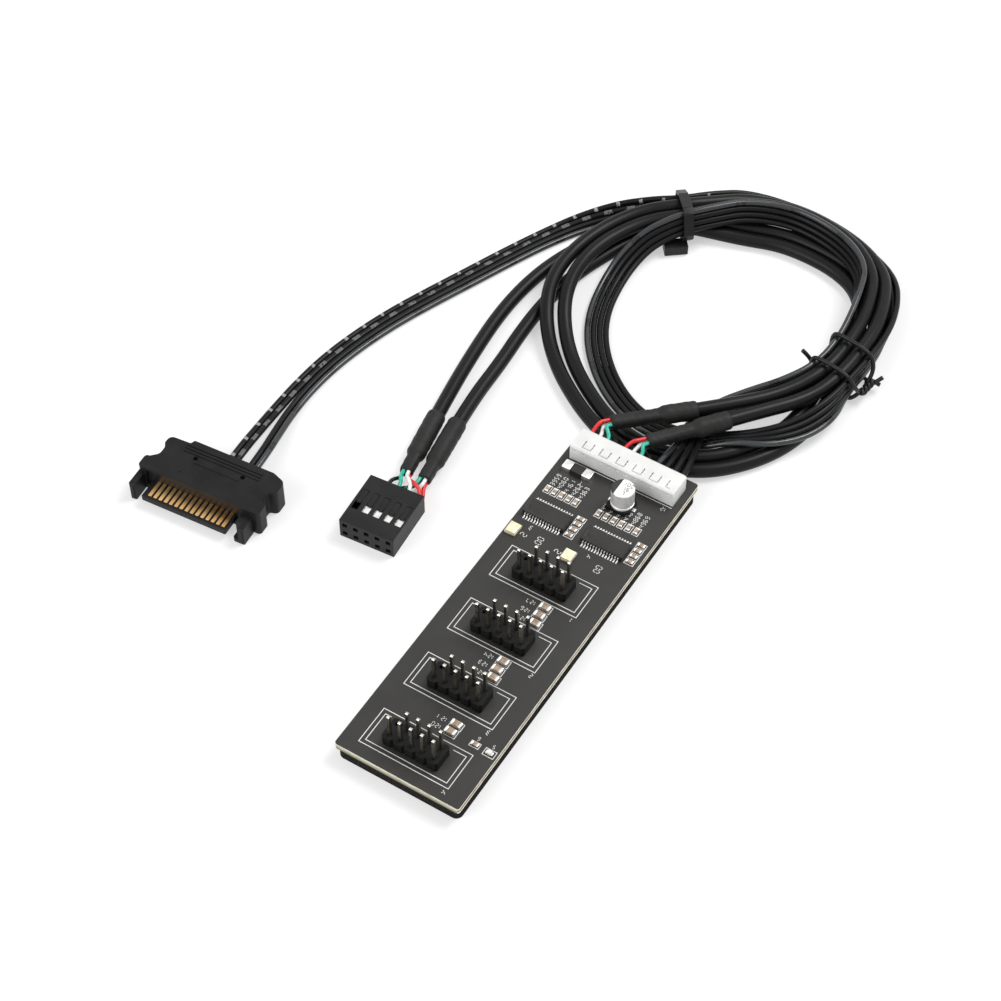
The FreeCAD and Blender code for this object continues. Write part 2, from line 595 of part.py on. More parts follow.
def sleeve(cable_end, into_cable, over_cable, over_wires):
    """Shrunk sleeve turned round a cable end, from its straight part to the loose wires."""
    bore = SLEEVE_BORE / 2
    neck = SLEEVE_NECK / 2
    cable = CABLE_DIAMETER / 2
    skin = cable + SLEEVE_WALL
    profile = [
        V(bore, 0, -over_wires), V(neck, 0, -over_wires),
        V(neck, 0, -SLEEVE_STEP), V(skin, 0, SLEEVE_SHOULDER),
        V(skin, 0, over_cable), V(cable, 0, over_cable), V(cable, 0, 0), V(bore, 0, 0),
    ]
    turned = Part.Face(Part.makePolygon(profile + profile[:1])).revolve(V(0, 0, 0), UP, 360)
    turned.Placement = FreeCAD.Placement(cable_end, FreeCAD.Rotation(UP, into_cable))
    return turned


def wire_starts(cable_end, into_cable, over_wires):
    """Four pairs of points where the loose wires leave a cable end and leave its sleeve."""
    outwards = into_cable * -1
    across = UP.cross(outwards).normalize()
    raised = outwards.cross(across)
    starts = []
    for side, lift in ((-1, -1), (-1, 1), (1, 1), (1, -1)):
        offset = across * (side * WIRE_SPACING / 2) + raised * (lift * WIRE_SPACING / 2)
        starts.append((cable_end + offset, cable_end + outwards * (over_wires + WIRE_LEAD_OUT) + offset))
    return starts


def arched(start, behind, inside, rise):
    """Points of a loose wire that rises halfway between its sleeve and its connector."""
    return [start[0], start[1], (start[1] + behind) * 0.5 + UP * rise, behind, inside]


def socket_way(column, row):
    """Centre of a socket way across the housing and in height."""
    across = (column - (HEADER_COLUMNS - 1) / 2) * PIN_PITCH
    height = SOCKET_HEIGHT / 2 + (row - (HEADER_ROWS - 1) / 2) * PIN_PITCH
    return across, height


def socket_housing():
    """Two rows of square ways, open behind, with latch windows above and below."""
    front = -SOCKET_LENGTH / 2
    back = SOCKET_LENGTH / 2
    half = SOCKET_WIDTH / 2
    housing = box(-half, half, front, back, 0, SOCKET_HEIGHT)
    bore = SOCKET_BORE / 2
    mouth = SOCKET_MOUTH / 2
    cuts = []
    for column in range(HEADER_COLUMNS):
        for row in range(HEADER_ROWS):
            x, z = socket_way(column, row)
            outside = SOCKET_HEIGHT if row else 0
            low, high = min(z, outside), max(z, outside)
            window_half = SOCKET_WINDOW[0] / 2
            window_back = front + SOCKET_WINDOW_START + SOCKET_WINDOW[1]
            cuts.append(box(x - bore, x + bore, front + SOCKET_FACE, back, z - bore, z + bore))
            cuts.append(box(x - mouth, x + mouth, front, front + SOCKET_FACE, z - mouth, z + mouth))
            cuts.append(box(x - window_half, x + window_half,
                            front + SOCKET_WINDOW_START, window_back, low, high))
            groove_low = SOCKET_HEIGHT - SOCKET_LATCH_DEPTH if row else 0
            groove_high = groove_low + SOCKET_LATCH_DEPTH
            latch_back = window_back + SOCKET_LATCH
            for start in (x - window_half, x + window_half - SOCKET_LATCH_GROOVE):
                cuts.append(box(start, start + SOCKET_LATCH_GROOVE, window_back, latch_back,
                                groove_low, groove_high))
            cuts.append(box(x - window_half, x + window_half, latch_back - SOCKET_LATCH_GROOVE, latch_back,
                            groove_low, groove_high))
    return housing.cut(cuts)


def socket_terminal(column, row):
    """Box terminal with a crimp barrel behind it."""
    x, z = socket_way(column, row)
    start = -SOCKET_LENGTH / 2 + SOCKET_FACE
    outer = SOCKET_BORE / 2
    inner = outer - TERMINAL_WALL
    shell = box(x - outer, x + outer, start, start + TERMINAL_BOX, z - outer, z + outer)
    inner_end = start + TERMINAL_BOX - TERMINAL_WALL
    shell = shell.cut(box(x - inner, x + inner, start, inner_end, z - inner, z + inner))
    barrel = Part.makeCylinder(TERMINAL_CRIMP_DIAMETER / 2, TERMINAL_CRIMP,
                               V(x, start + TERMINAL_BOX, z), V(0, 1, 0))
    return joined([shell, barrel])


def power_conductor_x(place):
    """Place of a power conductor across the power plug; the two pairs stand apart."""
    return POWER_EXIT_X - (place + math.copysign(POWER_PAIR_SPREAD, place)) * CONDUCTOR_PITCH


def power_plug_body():
    """Front half: flange with a recess, tongue for the contacts and two guide prongs."""
    flange = box(FLANGE_LEFT, FLANGE_RIGHT, FLANGE_FRONT, FLANGE_BACK, 0, POWER_HEIGHT)
    flange = flange.makeFillet(FLANGE_ROUND, upright_edges(flange))
    mark = [V(x, y, POWER_HEIGHT - FLANGE_MARK_DEPTH) for x, y in FLANGE_MARK]
    flange = flange.cut(prism(mark, UP * FLANGE_MARK_DEPTH))
    recess_back = FLANGE_FRONT + RECESS_DEPTH
    recess = box(RECESS_LEFT, RECESS_RIGHT, FLANGE_FRONT, recess_back, RECESS_FLOOR, RECESS_ROOF)
    tongue = box(TONGUE_LEFT, TONGUE_RIGHT, TONGUE_TIP, recess_back,
                 RECESS_FLOOR, RECESS_FLOOR + TONGUE_THICKNESS)
    tongue = tongue.makeChamfer(TONGUE_CHAMFER, edges_at_y(tongue, TONGUE_TIP))
    prongs = []
    for left, right in (LEFT_PRONG, RIGHT_PRONG):
        prong = box(left, right, PRONG_TIP, FLANGE_FRONT + FLANGE_ROUND, 0, PRONG_HEIGHT)
        prongs.append(prong.makeChamfer(PRONG_CHAMFER, edges_at_y(prong, PRONG_TIP)))
    notch_width, notch_depth, notch_low = RIGHT_PRONG_NOTCH
    notch = box(RIGHT_PRONG[0], RIGHT_PRONG[0] + notch_width, PRONG_TIP, PRONG_TIP + notch_depth,
                notch_low, PRONG_HEIGHT)
    prongs[-1] = prongs[-1].cut(notch)
    return joined([flange.cut(recess), tongue] + prongs)


def power_contact(place):
    """Flat contact on the tongue."""
    x = CONTACT_CENTRE + (place - (CONTACTS - 1) / 2) * CONTACT_PITCH
    top = RECESS_FLOOR + TONGUE_THICKNESS
    return box(x - CONTACT_WIDTH / 2, x + CONTACT_WIDTH / 2, TONGUE_TIP + CONTACT_SETBACK,
               FLANGE_FRONT + RECESS_DEPTH, top, top + CONTACT_THICKNESS)


def power_plug_cover():
    """Rear half: waisted block with grip ridges, a raised line, two dimples and the conductor bores."""
    raised = []
    for y in RIDGE_YS:
        raised.append(box(RIDGE_LEFT, RIDGE_RIGHT, y - RIDGE_WIDTH / 2, y + RIDGE_WIDTH / 2,
                          POWER_HEIGHT, POWER_HEIGHT + RIDGE_HEIGHT))
    raised.append(box(*COVER_LINE, POWER_HEIGHT, POWER_HEIGHT + COVER_LINE_HEIGHT))
    cover = joined([rounded_prism(COVER_OUTLINE, 0, POWER_HEIGHT)] + raised)
    cuts = []
    for x, y in COVER_HOLES:
        base = V(x, y, POWER_HEIGHT - COVER_HOLE_DEPTH)
        cuts.append(Part.makeCylinder(COVER_HOLE_DIAMETER / 2, COVER_HOLE_DEPTH, base))
    bore = (CONDUCTOR_DIAMETER + POWER_BORE_CLEARANCE) / 2
    for place in CONDUCTOR_PLACES:
        mouth = V(power_conductor_x(place), COVER_BACK - POWER_BORE_DEPTH, POWER_EXIT_Z)
        cuts.append(Part.makeCylinder(bore, POWER_BORE_DEPTH, mouth, V(0, 1, 0)))
    return cover.cut(cuts)


def conductor_points(index):
    """Route of one power conductor, from the bottom of its bore to its connector way."""
    place = CONDUCTOR_PLACES[index]
    middles = [point for point, lean in RIBBON_ROUTE]
    points = []
    for depth in (-POWER_BORE_DEPTH, POWER_STRAIGHT):
        on_bore = V(power_conductor_x(place), COVER_BACK + depth, POWER_EXIT_Z)
        points.append(placed_point(on_bore, POWER_CENTRE, POWER_TURN))
    for number, (middle, lean) in enumerate(RIBBON_ROUTE):
        before = middles[max(number - 1, 0)]
        after = middles[min(number + 1, len(middles) - 1)]
        heading = V(after.x - before.x, after.y - before.y, 0).normalize()
        side = UP.cross(heading)
        angle = math.radians(lean)
        across = side * math.cos(angle) + UP * math.sin(angle)
        offset = place * CONDUCTOR_PITCH
        if number < len(RIBBON_FAN_OUT):
            offset += math.copysign(RIBBON_FAN_OUT[number], place) * CONDUCTOR_PITCH
        if number == len(RIBBON_ROUTE) - 1:
            offset = place * RIBBON_LAST_SPACING
        points.append(middle + across * offset)
    way = WAYS - len(CONDUCTOR_PLACES) + index
    points.append(V(way_x(way), PLUG_BACK + CONDUCTOR_STRAIGHT, WAY_Z))
    points.append(V(way_x(way), TERMINAL_END, WAY_Z))
    return points


def station_frame(station):
    """Out, along and origin of the upright plane across the bundle at a station."""
    x, y, bearing = STATIONS[station]
    out = V(math.cos(math.radians(bearing)), math.sin(math.radians(bearing)), 0)
    return V(x, y, 0), out, UP.cross(out)


# Connector heights and depths that follow from the sizes above
CAVITY_FRONT = WAFER_FRONT + WAFER_BACK_WALL
CAVITY_LOW = BOARD_TOP + WAFER_FLOOR
CAVITY_HIGH = BOARD_TOP + WAFER_HEIGHT - WAFER_ROOF
WAY_Z = (CAVITY_LOW + CAVITY_HIGH) / 2
WAFER_BACK = WAFER_FRONT + WAFER_DEPTH
PLUG_FRONT = CAVITY_FRONT + PLUG_FRONT_GAP
PLUG_BACK = WAFER_BACK + PLUG_STAND_OUT
TERMINAL_START = PLUG_FRONT + PLUG_TERMINAL_INSET
TERMINAL_END = TERMINAL_START + PLUG_TERMINAL_LENGTH


# Board and foam pad
board = rounded_slab(BOARD_WIDTH, BOARD_LENGTH, FOAM_THICKNESS, BOARD_TOP, BOARD_CORNER)
foam = rounded_slab(FOAM_WIDTH, FOAM_LENGTH, 0, FOAM_THICKNESS, FOAM_CORNER)
holes = []
pockets = []
pocket_height = PIN_TAIL + FOAM_POCKET_SPARE
pocket_low = FOAM_THICKNESS - pocket_height
for header_y in HEADER_YS:
    for x, y in header_places(header_y):
        holes.append(Part.makeCylinder(PIN_HOLE / 2, BOARD_THICKNESS, V(x, y, FOAM_THICKNESS)))
    pocket_width = (HEADER_COLUMNS - 1) * PIN_PITCH + PIN_HOLE + 2 * FOAM_POCKET_MARGIN
    pocket_depth = (HEADER_ROWS - 1) * PIN_PITCH + PIN_HOLE + 2 * FOAM_POCKET_MARGIN
    pocket = (pocket_width, pocket_depth, pocket_height)
    pockets.append(block(HEADER_X, header_y, pocket_low, pocket))
pin_y = WAFER_FRONT + WAFER_PIN_INSET
for way in range(WAYS):
    holes.append(Part.makeCylinder(PIN_HOLE / 2, BOARD_THICKNESS, V(way_x(way), pin_y, FOAM_THICKNESS)))
pocket_width = (WAYS - 1) * WAY_PITCH + PIN_HOLE + 2 * FOAM_POCKET_MARGIN
pocket_depth = PIN_HOLE + 2 * FOAM_POCKET_MARGIN
pockets.append(block(0, pin_y, pocket_low, (pocket_width, pocket_depth, pocket_height)))
save("circuit_board", board.cut(holes))
save("foam_pad", foam.cut(pockets))

# Pin headers
for number, header_y in enumerate(HEADER_YS, start=1):
    save("header_base_%d" % number, header_base(header_y))
    pins = []
    for x, y in header_pin_places(header_y):
        pins.append(square_pin(x, y, FOAM_THICKNESS - PIN_TAIL, BOARD_TOP + PIN_RISE))
    save("header_pins_%d" % number, pins)

# Wire connector
wafer_pins = [wafer_pin(way) for way in range(WAYS)]
wafer = block(0, WAFER_FRONT + WAFER_DEPTH / 2, BOARD_TOP, (WAFER_WIDTH, WAFER_DEPTH, WAFER_HEIGHT))
wafer_top = BOARD_TOP + WAFER_HEIGHT
front_edges = edges_at_y(wafer, WAFER_FRONT)
top_edges = [edge for edge in front_edges if edge.BoundBox.ZMin > wafer_top - 1e-6]
wafer = wafer.makeChamfer(WAFER_CHAMFER, top_edges)
cavity_half = WAFER_WIDTH / 2 - WAFER_SIDE_WALL
wafer_cuts = [box(-cavity_half, cavity_half, CAVITY_FRONT, WAFER_BACK, CAVITY_LOW, CAVITY_HIGH)]
slit_width, slit_length, slit_depth = WAFER_SLIT
slit_front = WAFER_FRONT + WAFER_SLIT_START
slit_low = wafer_top - slit_depth
notch_width, notch_depth, notch_height = WAFER_NOTCH
notch_high = wafer_top - WAFER_NOTCH_DROP
for way in range(WAYS):
    x = way_x(way)
    wafer_cuts.append(box(x - notch_width / 2, x + notch_width / 2, WAFER_FRONT, WAFER_FRONT + notch_depth,
                          notch_high - notch_height, notch_high))
    if way:
        slit = x - WAY_PITCH / 2
        wafer_cuts.append(box(slit - slit_width / 2, slit + slit_width / 2, slit_front,
                              slit_front + slit_length, slit_low, wafer_top))
    if way % 2:
        joined_to = x + WAY_PITCH / 2 if way < WAYS - 1 else x
        wafer_cuts.append(box(x - WAY_PITCH / 2, joined_to, slit_front, slit_front + slit_width,
                              slit_low, wafer_top))
save("wire_wafer", wafer.cut(wafer_cuts + wafer_pins))
save("wafer_pins", wafer_pins)
plug_half = cavity_half - PLUG_CLEARANCE
plug = box(-plug_half, plug_half, PLUG_FRONT, PLUG_BACK, CAVITY_LOW, CAVITY_HIGH - PLUG_CLEARANCE)
plug_cuts = []
terminals = []
for way in range(WAYS):
    x = way_x(way)
    half = PLUG_BORE / 2
    pin_half = WAFER_PIN / 2
    plug_cuts.append(box(x - half, x + half, TERMINAL_START, PLUG_BACK, WAY_Z - half, WAY_Z + half))
    plug_cuts.append(box(x - pin_half, x + pin_half, PLUG_FRONT, TERMINAL_START,
                         WAY_Z - pin_half, WAY_Z + pin_half))
    terminals.append(box(x - half, x + half, TERMINAL_START, TERMINAL_END, WAY_Z - half, WAY_Z + half))
save("wire_plug", plug.cut(plug_cuts))
save("wire_plug_terminals", [terminal.cut(pin) for terminal, pin in zip(terminals, wafer_pins)])

# Hub chips
leads = []
for number, (chip_x, chip_y) in enumerate(CHIP_CENTRES, start=1):
    save("hub_chip_%d" % number, chip_body(chip_x, chip_y))
    for lead in range(LEADS_PER_SIDE):
        x = chip_x + (lead - (LEADS_PER_SIDE - 1) / 2) * LEAD_PITCH
        leads += [chip_lead(x, chip_y, -1), chip_lead(x, chip_y, 1)]
save("hub_chip_leads", leads)

# Crystals
save("crystal_cases", [block(x, y, BOARD_TOP, CRYSTAL_BASE) for x, y in CRYSTAL_CENTRES])
lid_low = BOARD_TOP + CRYSTAL_BASE[2]
save("crystal_lids", [block(x, y, lid_low, CRYSTAL_LID) for x, y in CRYSTAL_CENTRES])

# Capacitor can on its base, with a terminal to each side
can_x, can_y = CAN_CENTRE
base = block(can_x, can_y, BOARD_TOP, (CAN_BASE_SIDE, CAN_BASE_SIDE, CAN_BASE_HEIGHT))
right_corners = [edge for edge in upright_edges(base) if edge.Vertexes[0].Point.x > can_x]
base = base.makeChamfer(CAN_BASE_CHAMFER, right_corners)
can_terminals = []
for side in (-1, 1):
    centre = can_x + side * (CAN_TERMINAL_REACH - CAN_TERMINAL[0] / 2)
    can_terminals.append(block(centre, can_y, BOARD_TOP, CAN_TERMINAL))
can_foot = BOARD_TOP + CAN_BASE_HEIGHT
can = Part.makeCylinder(CAN_DIAMETER / 2, CAN_HEIGHT, V(can_x, can_y, can_foot))
top_rim = [edge for edge in can.Edges if edge.BoundBox.ZMin > can_foot + CAN_HEIGHT - 1e-6]
can = can.makeFillet(CAN_ROUND, top_rim)
groove = Part.makeTorus(CAN_DIAMETER / 2, CAN_GROOVE[1], V(can_x, can_y, can_foot + CAN_GROOVE[0]))
save("capacitor_base", base.cut(can_terminals))
save("capacitor_terminals", can_terminals)
save("capacitor_can", can.cut(groove))

# Two-terminal parts
body, ends = two_terminal(INPUT_CENTRE[0], INPUT_CENTRE[1], INPUT_SIZE, INPUT_END, True)
save("input_component_body", body)
save("input_component_ends", ends)
bodies = []
ends = []
for x, y in PORT_CAPACITOR_CENTRES:
    body, pair = two_terminal(x, y, PORT_CAPACITOR_SIZE, PORT_CAPACITOR_END, True)
    bodies.append(body)
    ends += pair
save("port_capacitor_bodies", bodies)
save("port_capacitor_ends", ends)
bodies = []
ends = []
for places, along_x in ((SMALL_CHIPS_ALONG_X, True), (SMALL_CHIPS_ALONG_Y, False)):
    for x, y in places:
        body, pair = two_terminal(x, y, SMALL_CHIP_SIZE, SMALL_CHIP_END, along_x)
        bodies.append(body)
        ends += pair
save("small_chip_bodies", bodies)
save("small_chip_ends", ends)
light_x, light_y = LIGHT_CENTRE
save("indicator_base", block(light_x, light_y, BOARD_TOP, LIGHT_BASE))
save("indicator_lens", block(light_x, light_y, BOARD_TOP + LIGHT_BASE[2], LIGHT_LENS))
light_reach = (LIGHT_BASE[0] + LIGHT_END[0]) / 2
light_ends = []
for side in (-1, 1):
    light_ends.append(block(light_x + side * light_reach, light_y, BOARD_TOP, LIGHT_END))
save("indicator_ends", light_ends)

# Socket housing and its terminals
save("socket_housing", placed(socket_housing(), SOCKET_CENTRE, SOCKET_TURN))
socket_terminals = []
for row in range(HEADER_ROWS):
    for column in range(HEADER_COLUMNS):
        if column != SOCKET_EMPTY_COLUMN:
            socket_terminals.append(placed(socket_terminal(column, row), SOCKET_CENTRE, SOCKET_TURN))
save("socket_terminals", socket_terminals)

# Power plug
save("power_plug_body", placed(power_plug_body(), POWER_CENTRE, POWER_TURN))
save("power_plug_cover", placed(power_plug_cover(), POWER_CENTRE, POWER_TURN))
contacts = [placed(power_contact(place), POWER_CENTRE, POWER_TURN) for place in range(CONTACTS)]
save("power_plug_contacts", contacts)

# Cables and power conductors
save("usb_cable_outer", tube(OUTER_ROUTE, CABLE_DIAMETER, "outer cable"))
save("usb_cable_inner", tube(INNER_ROUTE, CABLE_DIAMETER, "inner cable"))
POWER_WIRES = ["power_wire_grey", "power_wire_black_1", "power_wire_black_2", "power_wire_black_3"]
for index, node in enumerate(POWER_WIRES):
    save(node, tube(conductor_points(index), CONDUCTOR_DIAMETER, node))

# Sleeves and loose wires at both ends of each cable
board_wires = {colour: [] for colour in WIRE_COLOURS}
socket_wires = {colour: [] for colour in WIRE_COLOURS}
for name, route, first_way, row in (("inner", INNER_ROUTE, 0, 0), ("outer", OUTER_ROUTE, 4, 1)):
    into_board_end = (route[-2] - route[-1]).normalize()
    save("board_sleeve_" + name,
         sleeve(route[-1], into_board_end, BOARD_SLEEVE_OVER_CABLE, BOARD_SLEEVE_OVER_WIRES))
    starts = wire_starts(route[-1], into_board_end, BOARD_SLEEVE_OVER_WIRES)
    for order, colour in enumerate(WIRE_COLOURS):
        x = way_x(first_way + order)
        behind = V(x, PLUG_BACK + BOARD_WIRE_STRAIGHT, WAY_Z)
        inside = V(x, TERMINAL_END, WAY_Z)
        points = arched(starts[order], behind, inside, BOARD_ARCH[colour])
        board_wires[colour].append(tube(points, WIRE_DIAMETER))

    into_socket_end = (route[1] - route[0]).normalize()
    save("socket_sleeve_" + name,
         sleeve(route[0], into_socket_end, SOCKET_SLEEVE_OVER_CABLE, SOCKET_SLEEVE_OVER_WIRES))
    starts = wire_starts(route[0], into_socket_end, SOCKET_SLEEVE_OVER_WIRES)[::-1]
    for order, colour in enumerate(WIRE_COLOURS):
        across, height = socket_way(HEADER_COLUMNS - 1 - order, row)
        crimp_end = -SOCKET_LENGTH / 2 + SOCKET_FACE + TERMINAL_BOX + TERMINAL_CRIMP
        inside = placed_point(V(across, crimp_end, height), SOCKET_CENTRE, SOCKET_TURN)
        wire_bend = SOCKET_LENGTH / 2 + SOCKET_WIRE_STRAIGHT
        behind = placed_point(V(across, wire_bend, height), SOCKET_CENTRE, SOCKET_TURN)
        points = arched(starts[order], behind, inside, SOCKET_ARCH[row][colour])
        socket_wires[colour].append(tube(points, WIRE_DIAMETER))
for colour in WIRE_COLOURS:
    save("board_wires_" + colour, board_wires[colour])
    save("socket_wires_" + colour, socket_wires[colour])

# Plastic tie: a flat strap round the bundle with its head on the inner side
origin, out, along = station_frame("upper_tie")
loop = [origin + out * reach + UP * height for reach, height in STRAP_LOOP]
inner_face = Part.Face(Part.makePolygon(loop + loop[:1]))
outer_face = inner_face.makeOffset2D(STRAP_THICKNESS)
strap = outer_face.extrude(along * STRAP_WIDTH).cut(inner_face.extrude(along * STRAP_WIDTH))
strap.translate(along * (-STRAP_WIDTH / 2))
head_start = -STRAP_HEAD_SHIFT - STRAP_HEAD[0] / 2
head = box(head_start, head_start + STRAP_HEAD[0], -STRAP_HEAD[1], 0,
           STRAP_HEAD_LOW, STRAP_HEAD_LOW + STRAP_HEAD[2])
head_place = coil("upper_tie", STRAP_LOOP[-1][0] + STRAP_HEAD_SEAT, 0)
head = placed(head, (head_place.x, head_place.y), STATIONS["upper_tie"][2] - 90)
save("cable_tie", joined([strap, head]))

# Twist tie: two loops of coated wire, the second with its ends twisted outwards
twist = []
for station, outline, skew in (("wrap_1", TWIST_LOOP, 0), ("wrap_2", TWIST_ENDS, TWIST_SKEW)):
    origin, out, along = station_frame(station)
    last = len(outline) - 1
    points = []
    for number, (reach, height) in enumerate(outline):
        shift = along * (skew * (1 - 2 * number / last))
        points.append(origin + out * reach + UP * height + shift)
    twist.append(tube(points, TWIST_DIAMETER))
save("twist_tie", twist)
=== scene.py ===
import json
import math
import random

import bmesh
import bpy
from mathutils import Matrix, Vector
from mathutils.noise import voronoi


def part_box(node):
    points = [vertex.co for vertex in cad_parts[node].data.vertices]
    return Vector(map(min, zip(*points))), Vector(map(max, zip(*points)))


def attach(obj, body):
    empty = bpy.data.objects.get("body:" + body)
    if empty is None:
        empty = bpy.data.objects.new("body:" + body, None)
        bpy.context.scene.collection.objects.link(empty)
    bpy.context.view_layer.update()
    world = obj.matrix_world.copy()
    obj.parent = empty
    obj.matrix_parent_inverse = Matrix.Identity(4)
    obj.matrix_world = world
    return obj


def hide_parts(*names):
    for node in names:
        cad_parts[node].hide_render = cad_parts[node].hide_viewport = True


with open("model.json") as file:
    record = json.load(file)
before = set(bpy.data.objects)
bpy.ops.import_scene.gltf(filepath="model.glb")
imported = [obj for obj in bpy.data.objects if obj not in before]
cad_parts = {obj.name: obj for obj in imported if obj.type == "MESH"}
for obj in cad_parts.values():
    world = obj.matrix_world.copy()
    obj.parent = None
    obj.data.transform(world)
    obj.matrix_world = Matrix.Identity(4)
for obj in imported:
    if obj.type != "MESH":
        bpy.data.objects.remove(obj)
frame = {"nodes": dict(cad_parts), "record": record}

# Looks of the internal hub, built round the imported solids.
# Lengths below are in millimetres in the frame of the solids and turn into metres through MM.

MM = 0.001
UP = Vector((0, 0, 1))
HEADERS = (1, 2, 3, 4)
nodes = frame["nodes"]
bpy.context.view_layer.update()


def V(x, y, z):
    """Vector with three parts."""
    return Vector((x, y, z))


def box_mm(node):
    """Low and high corner of a node's box in millimetres."""
    return [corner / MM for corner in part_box(node)]


def aim(holder, place, target):
    """Put a camera or lamp at a place and turn it to look at a target."""
    holder.location = place
    holder.rotation_mode = "QUATERNION"
    holder.rotation_quaternion = (target - place).to_track_quat("-Z", "Y")


# Camera: the photograph's viewing angle
CAMERA_AZIMUTH = 32.04
CAMERA_ELEVATION = 51.35
CAMERA_DISTANCE = 495.1
CAMERA_TARGET = V(-18.63, 20.93, 4.6)
CAMERA_LENS = 86.0
CAMERA_SENSOR = 36
CAMERA_CLIP_START = 10


def make_camera():
    """Camera on a sphere round the target, looking at it."""
    azimuth = math.radians(CAMERA_AZIMUTH)
    elevation = math.radians(CAMERA_ELEVATION)
    level = V(math.sin(azimuth), -math.cos(azimuth), 0)
    back = level * math.cos(elevation) + UP * math.sin(elevation)
    camera = bpy.data.objects.new("camera", bpy.data.cameras.new("camera"))
    bpy.context.scene.collection.objects.link(camera)
    camera.data.lens = CAMERA_LENS
    camera.data.sensor_width = CAMERA_SENSOR
    camera.data.clip_start = CAMERA_CLIP_START * MM
    aim(camera, (CAMERA_TARGET + back * CAMERA_DISTANCE) * MM, CAMERA_TARGET * MM)
    bpy.context.scene.camera = camera


make_camera()


# Cords: sizes and routes
CABLE_DIAMETER = 3.2
CONDUCTOR_DIAMETER = 1.28
CONDUCTOR_PITCH = 1.4
CONDUCTOR_SHOWN_GAP = 0.03
CONDUCTOR_SHOWN = CONDUCTOR_PITCH - CONDUCTOR_SHOWN_GAP
CONDUCTOR_PLACES = [-1.5, -0.5, 0.5, 1.5]
WIRE_DIAMETER = 0.85
WIRE_SPACING = 1.0
WIRE_COLOURS = ["red", "white", "green", "black"]
# Heights of a cord that lies on the floor
FLOOR_GAP = 0.02
LOW = CABLE_DIAMETER / 2 + FLOOR_GAP
RIBBON_LOW = CONDUCTOR_DIAMETER / 2 + FLOOR_GAP

# Coil stations: centre on the floor and the bearing of the coil's outer side in degrees
STATIONS = {
    "left_1": (-39.0, 100.3, 160.0),
    "left_2": (-34.3, 108.5, 144.0),
    "upper_tie": (-27.3, 114.0, 128.5),
    "far_0": (-22.0, 119.4, 122.0),
    "far_1": (-16.6, 124.6, 114.0),
    "far_2": (-7.0, 128.4, 98.0),
    "far_3": (2.8, 128.0, 79.0),
    "far_4": (11.6, 125.1, 63.0),
    "far_5": (18.3, 119.6, 43.0),
    "side_1": (21.9, 112.2, 24.0),
    "side_2": (24.2, 104.4, 6.0),
    "wrap_1": (24.7, 95.9, -7.0),
    "wrap_2": (24.0, 87.4, -7.0),
}


def coil(station, out, up):
    """Point beside a coil station: distance towards the coil's outer side, and height."""
    x, y, bearing = STATIONS[station]
    angle = math.radians(bearing)
    return V(x + out * math.cos(angle), y + out * math.sin(angle), up)


OUTER_ROUTE = [
    V(-41.2, 23.2, 2.75), V(-44.9, 42.0, 2.1), V(-47.1, 56.0, LOW), V(-48.3, 68.0, LOW),
    V(-48.0, 79.0, LOW), V(-46.0, 89.2, LOW), V(-41.8, 99.6, LOW),
    coil("left_2", 1.8, 1.9), coil("upper_tie", 1.7, 2.9), coil("far_0", -1.2, 2.1),
    coil("far_1", -4.4, 1.65), coil("far_2", -5.0, LOW), coil("far_3", -4.3, LOW),
    coil("far_4", -2.9, LOW), coil("far_5", -0.9, LOW), coil("side_1", 0.9, LOW),
    coil("side_2", 1.7, 1.9), coil("wrap_1", 1.62, 2.9), coil("wrap_2", 1.62, 2.9),
    V(25.7, 79.4, 1.8), V(25.0, 72.0, LOW), V(22.6, 65.0, LOW), V(18.6, 58.6, LOW),
    V(13.2, 53.0, LOW), V(6.8, 49.5, LOW), V(-0.5, 48.4, LOW), V(-7.8, 49.1, LOW),
    V(-14.8, 51.6, LOW), V(-21.9, 55.7, LOW), V(-29.0, 60.9, LOW), V(-35.2, 67.0, 2.6),
    V(-39.8, 73.8, 4.7), V(-42.6, 81.6, 5.3), V(-42.9, 91.0, 5.2),
    coil("left_1", 1.7, 5.15), coil("left_2", 1.7, 5.6), coil("upper_tie", 1.7, 6.3),
    coil("far_0", 1.9, 5.3), coil("far_1", 2.0, 4.5), coil("far_2", 2.0, 3.3),
    coil("far_3", 2.0, 3.0), coil("far_4", 2.4, 3.0), coil("far_5", 2.7, 3.7),
    coil("side_1", 2.2, 4.7), coil("side_2", 1.8, 5.5), coil("wrap_1", 1.62, 6.15),
    coil("wrap_2", 1.62, 6.15), V(22.6, 79.0, 5.2), V(15.2, 68.9, 6.0), V(7.2, 58.1, 6.7),
]
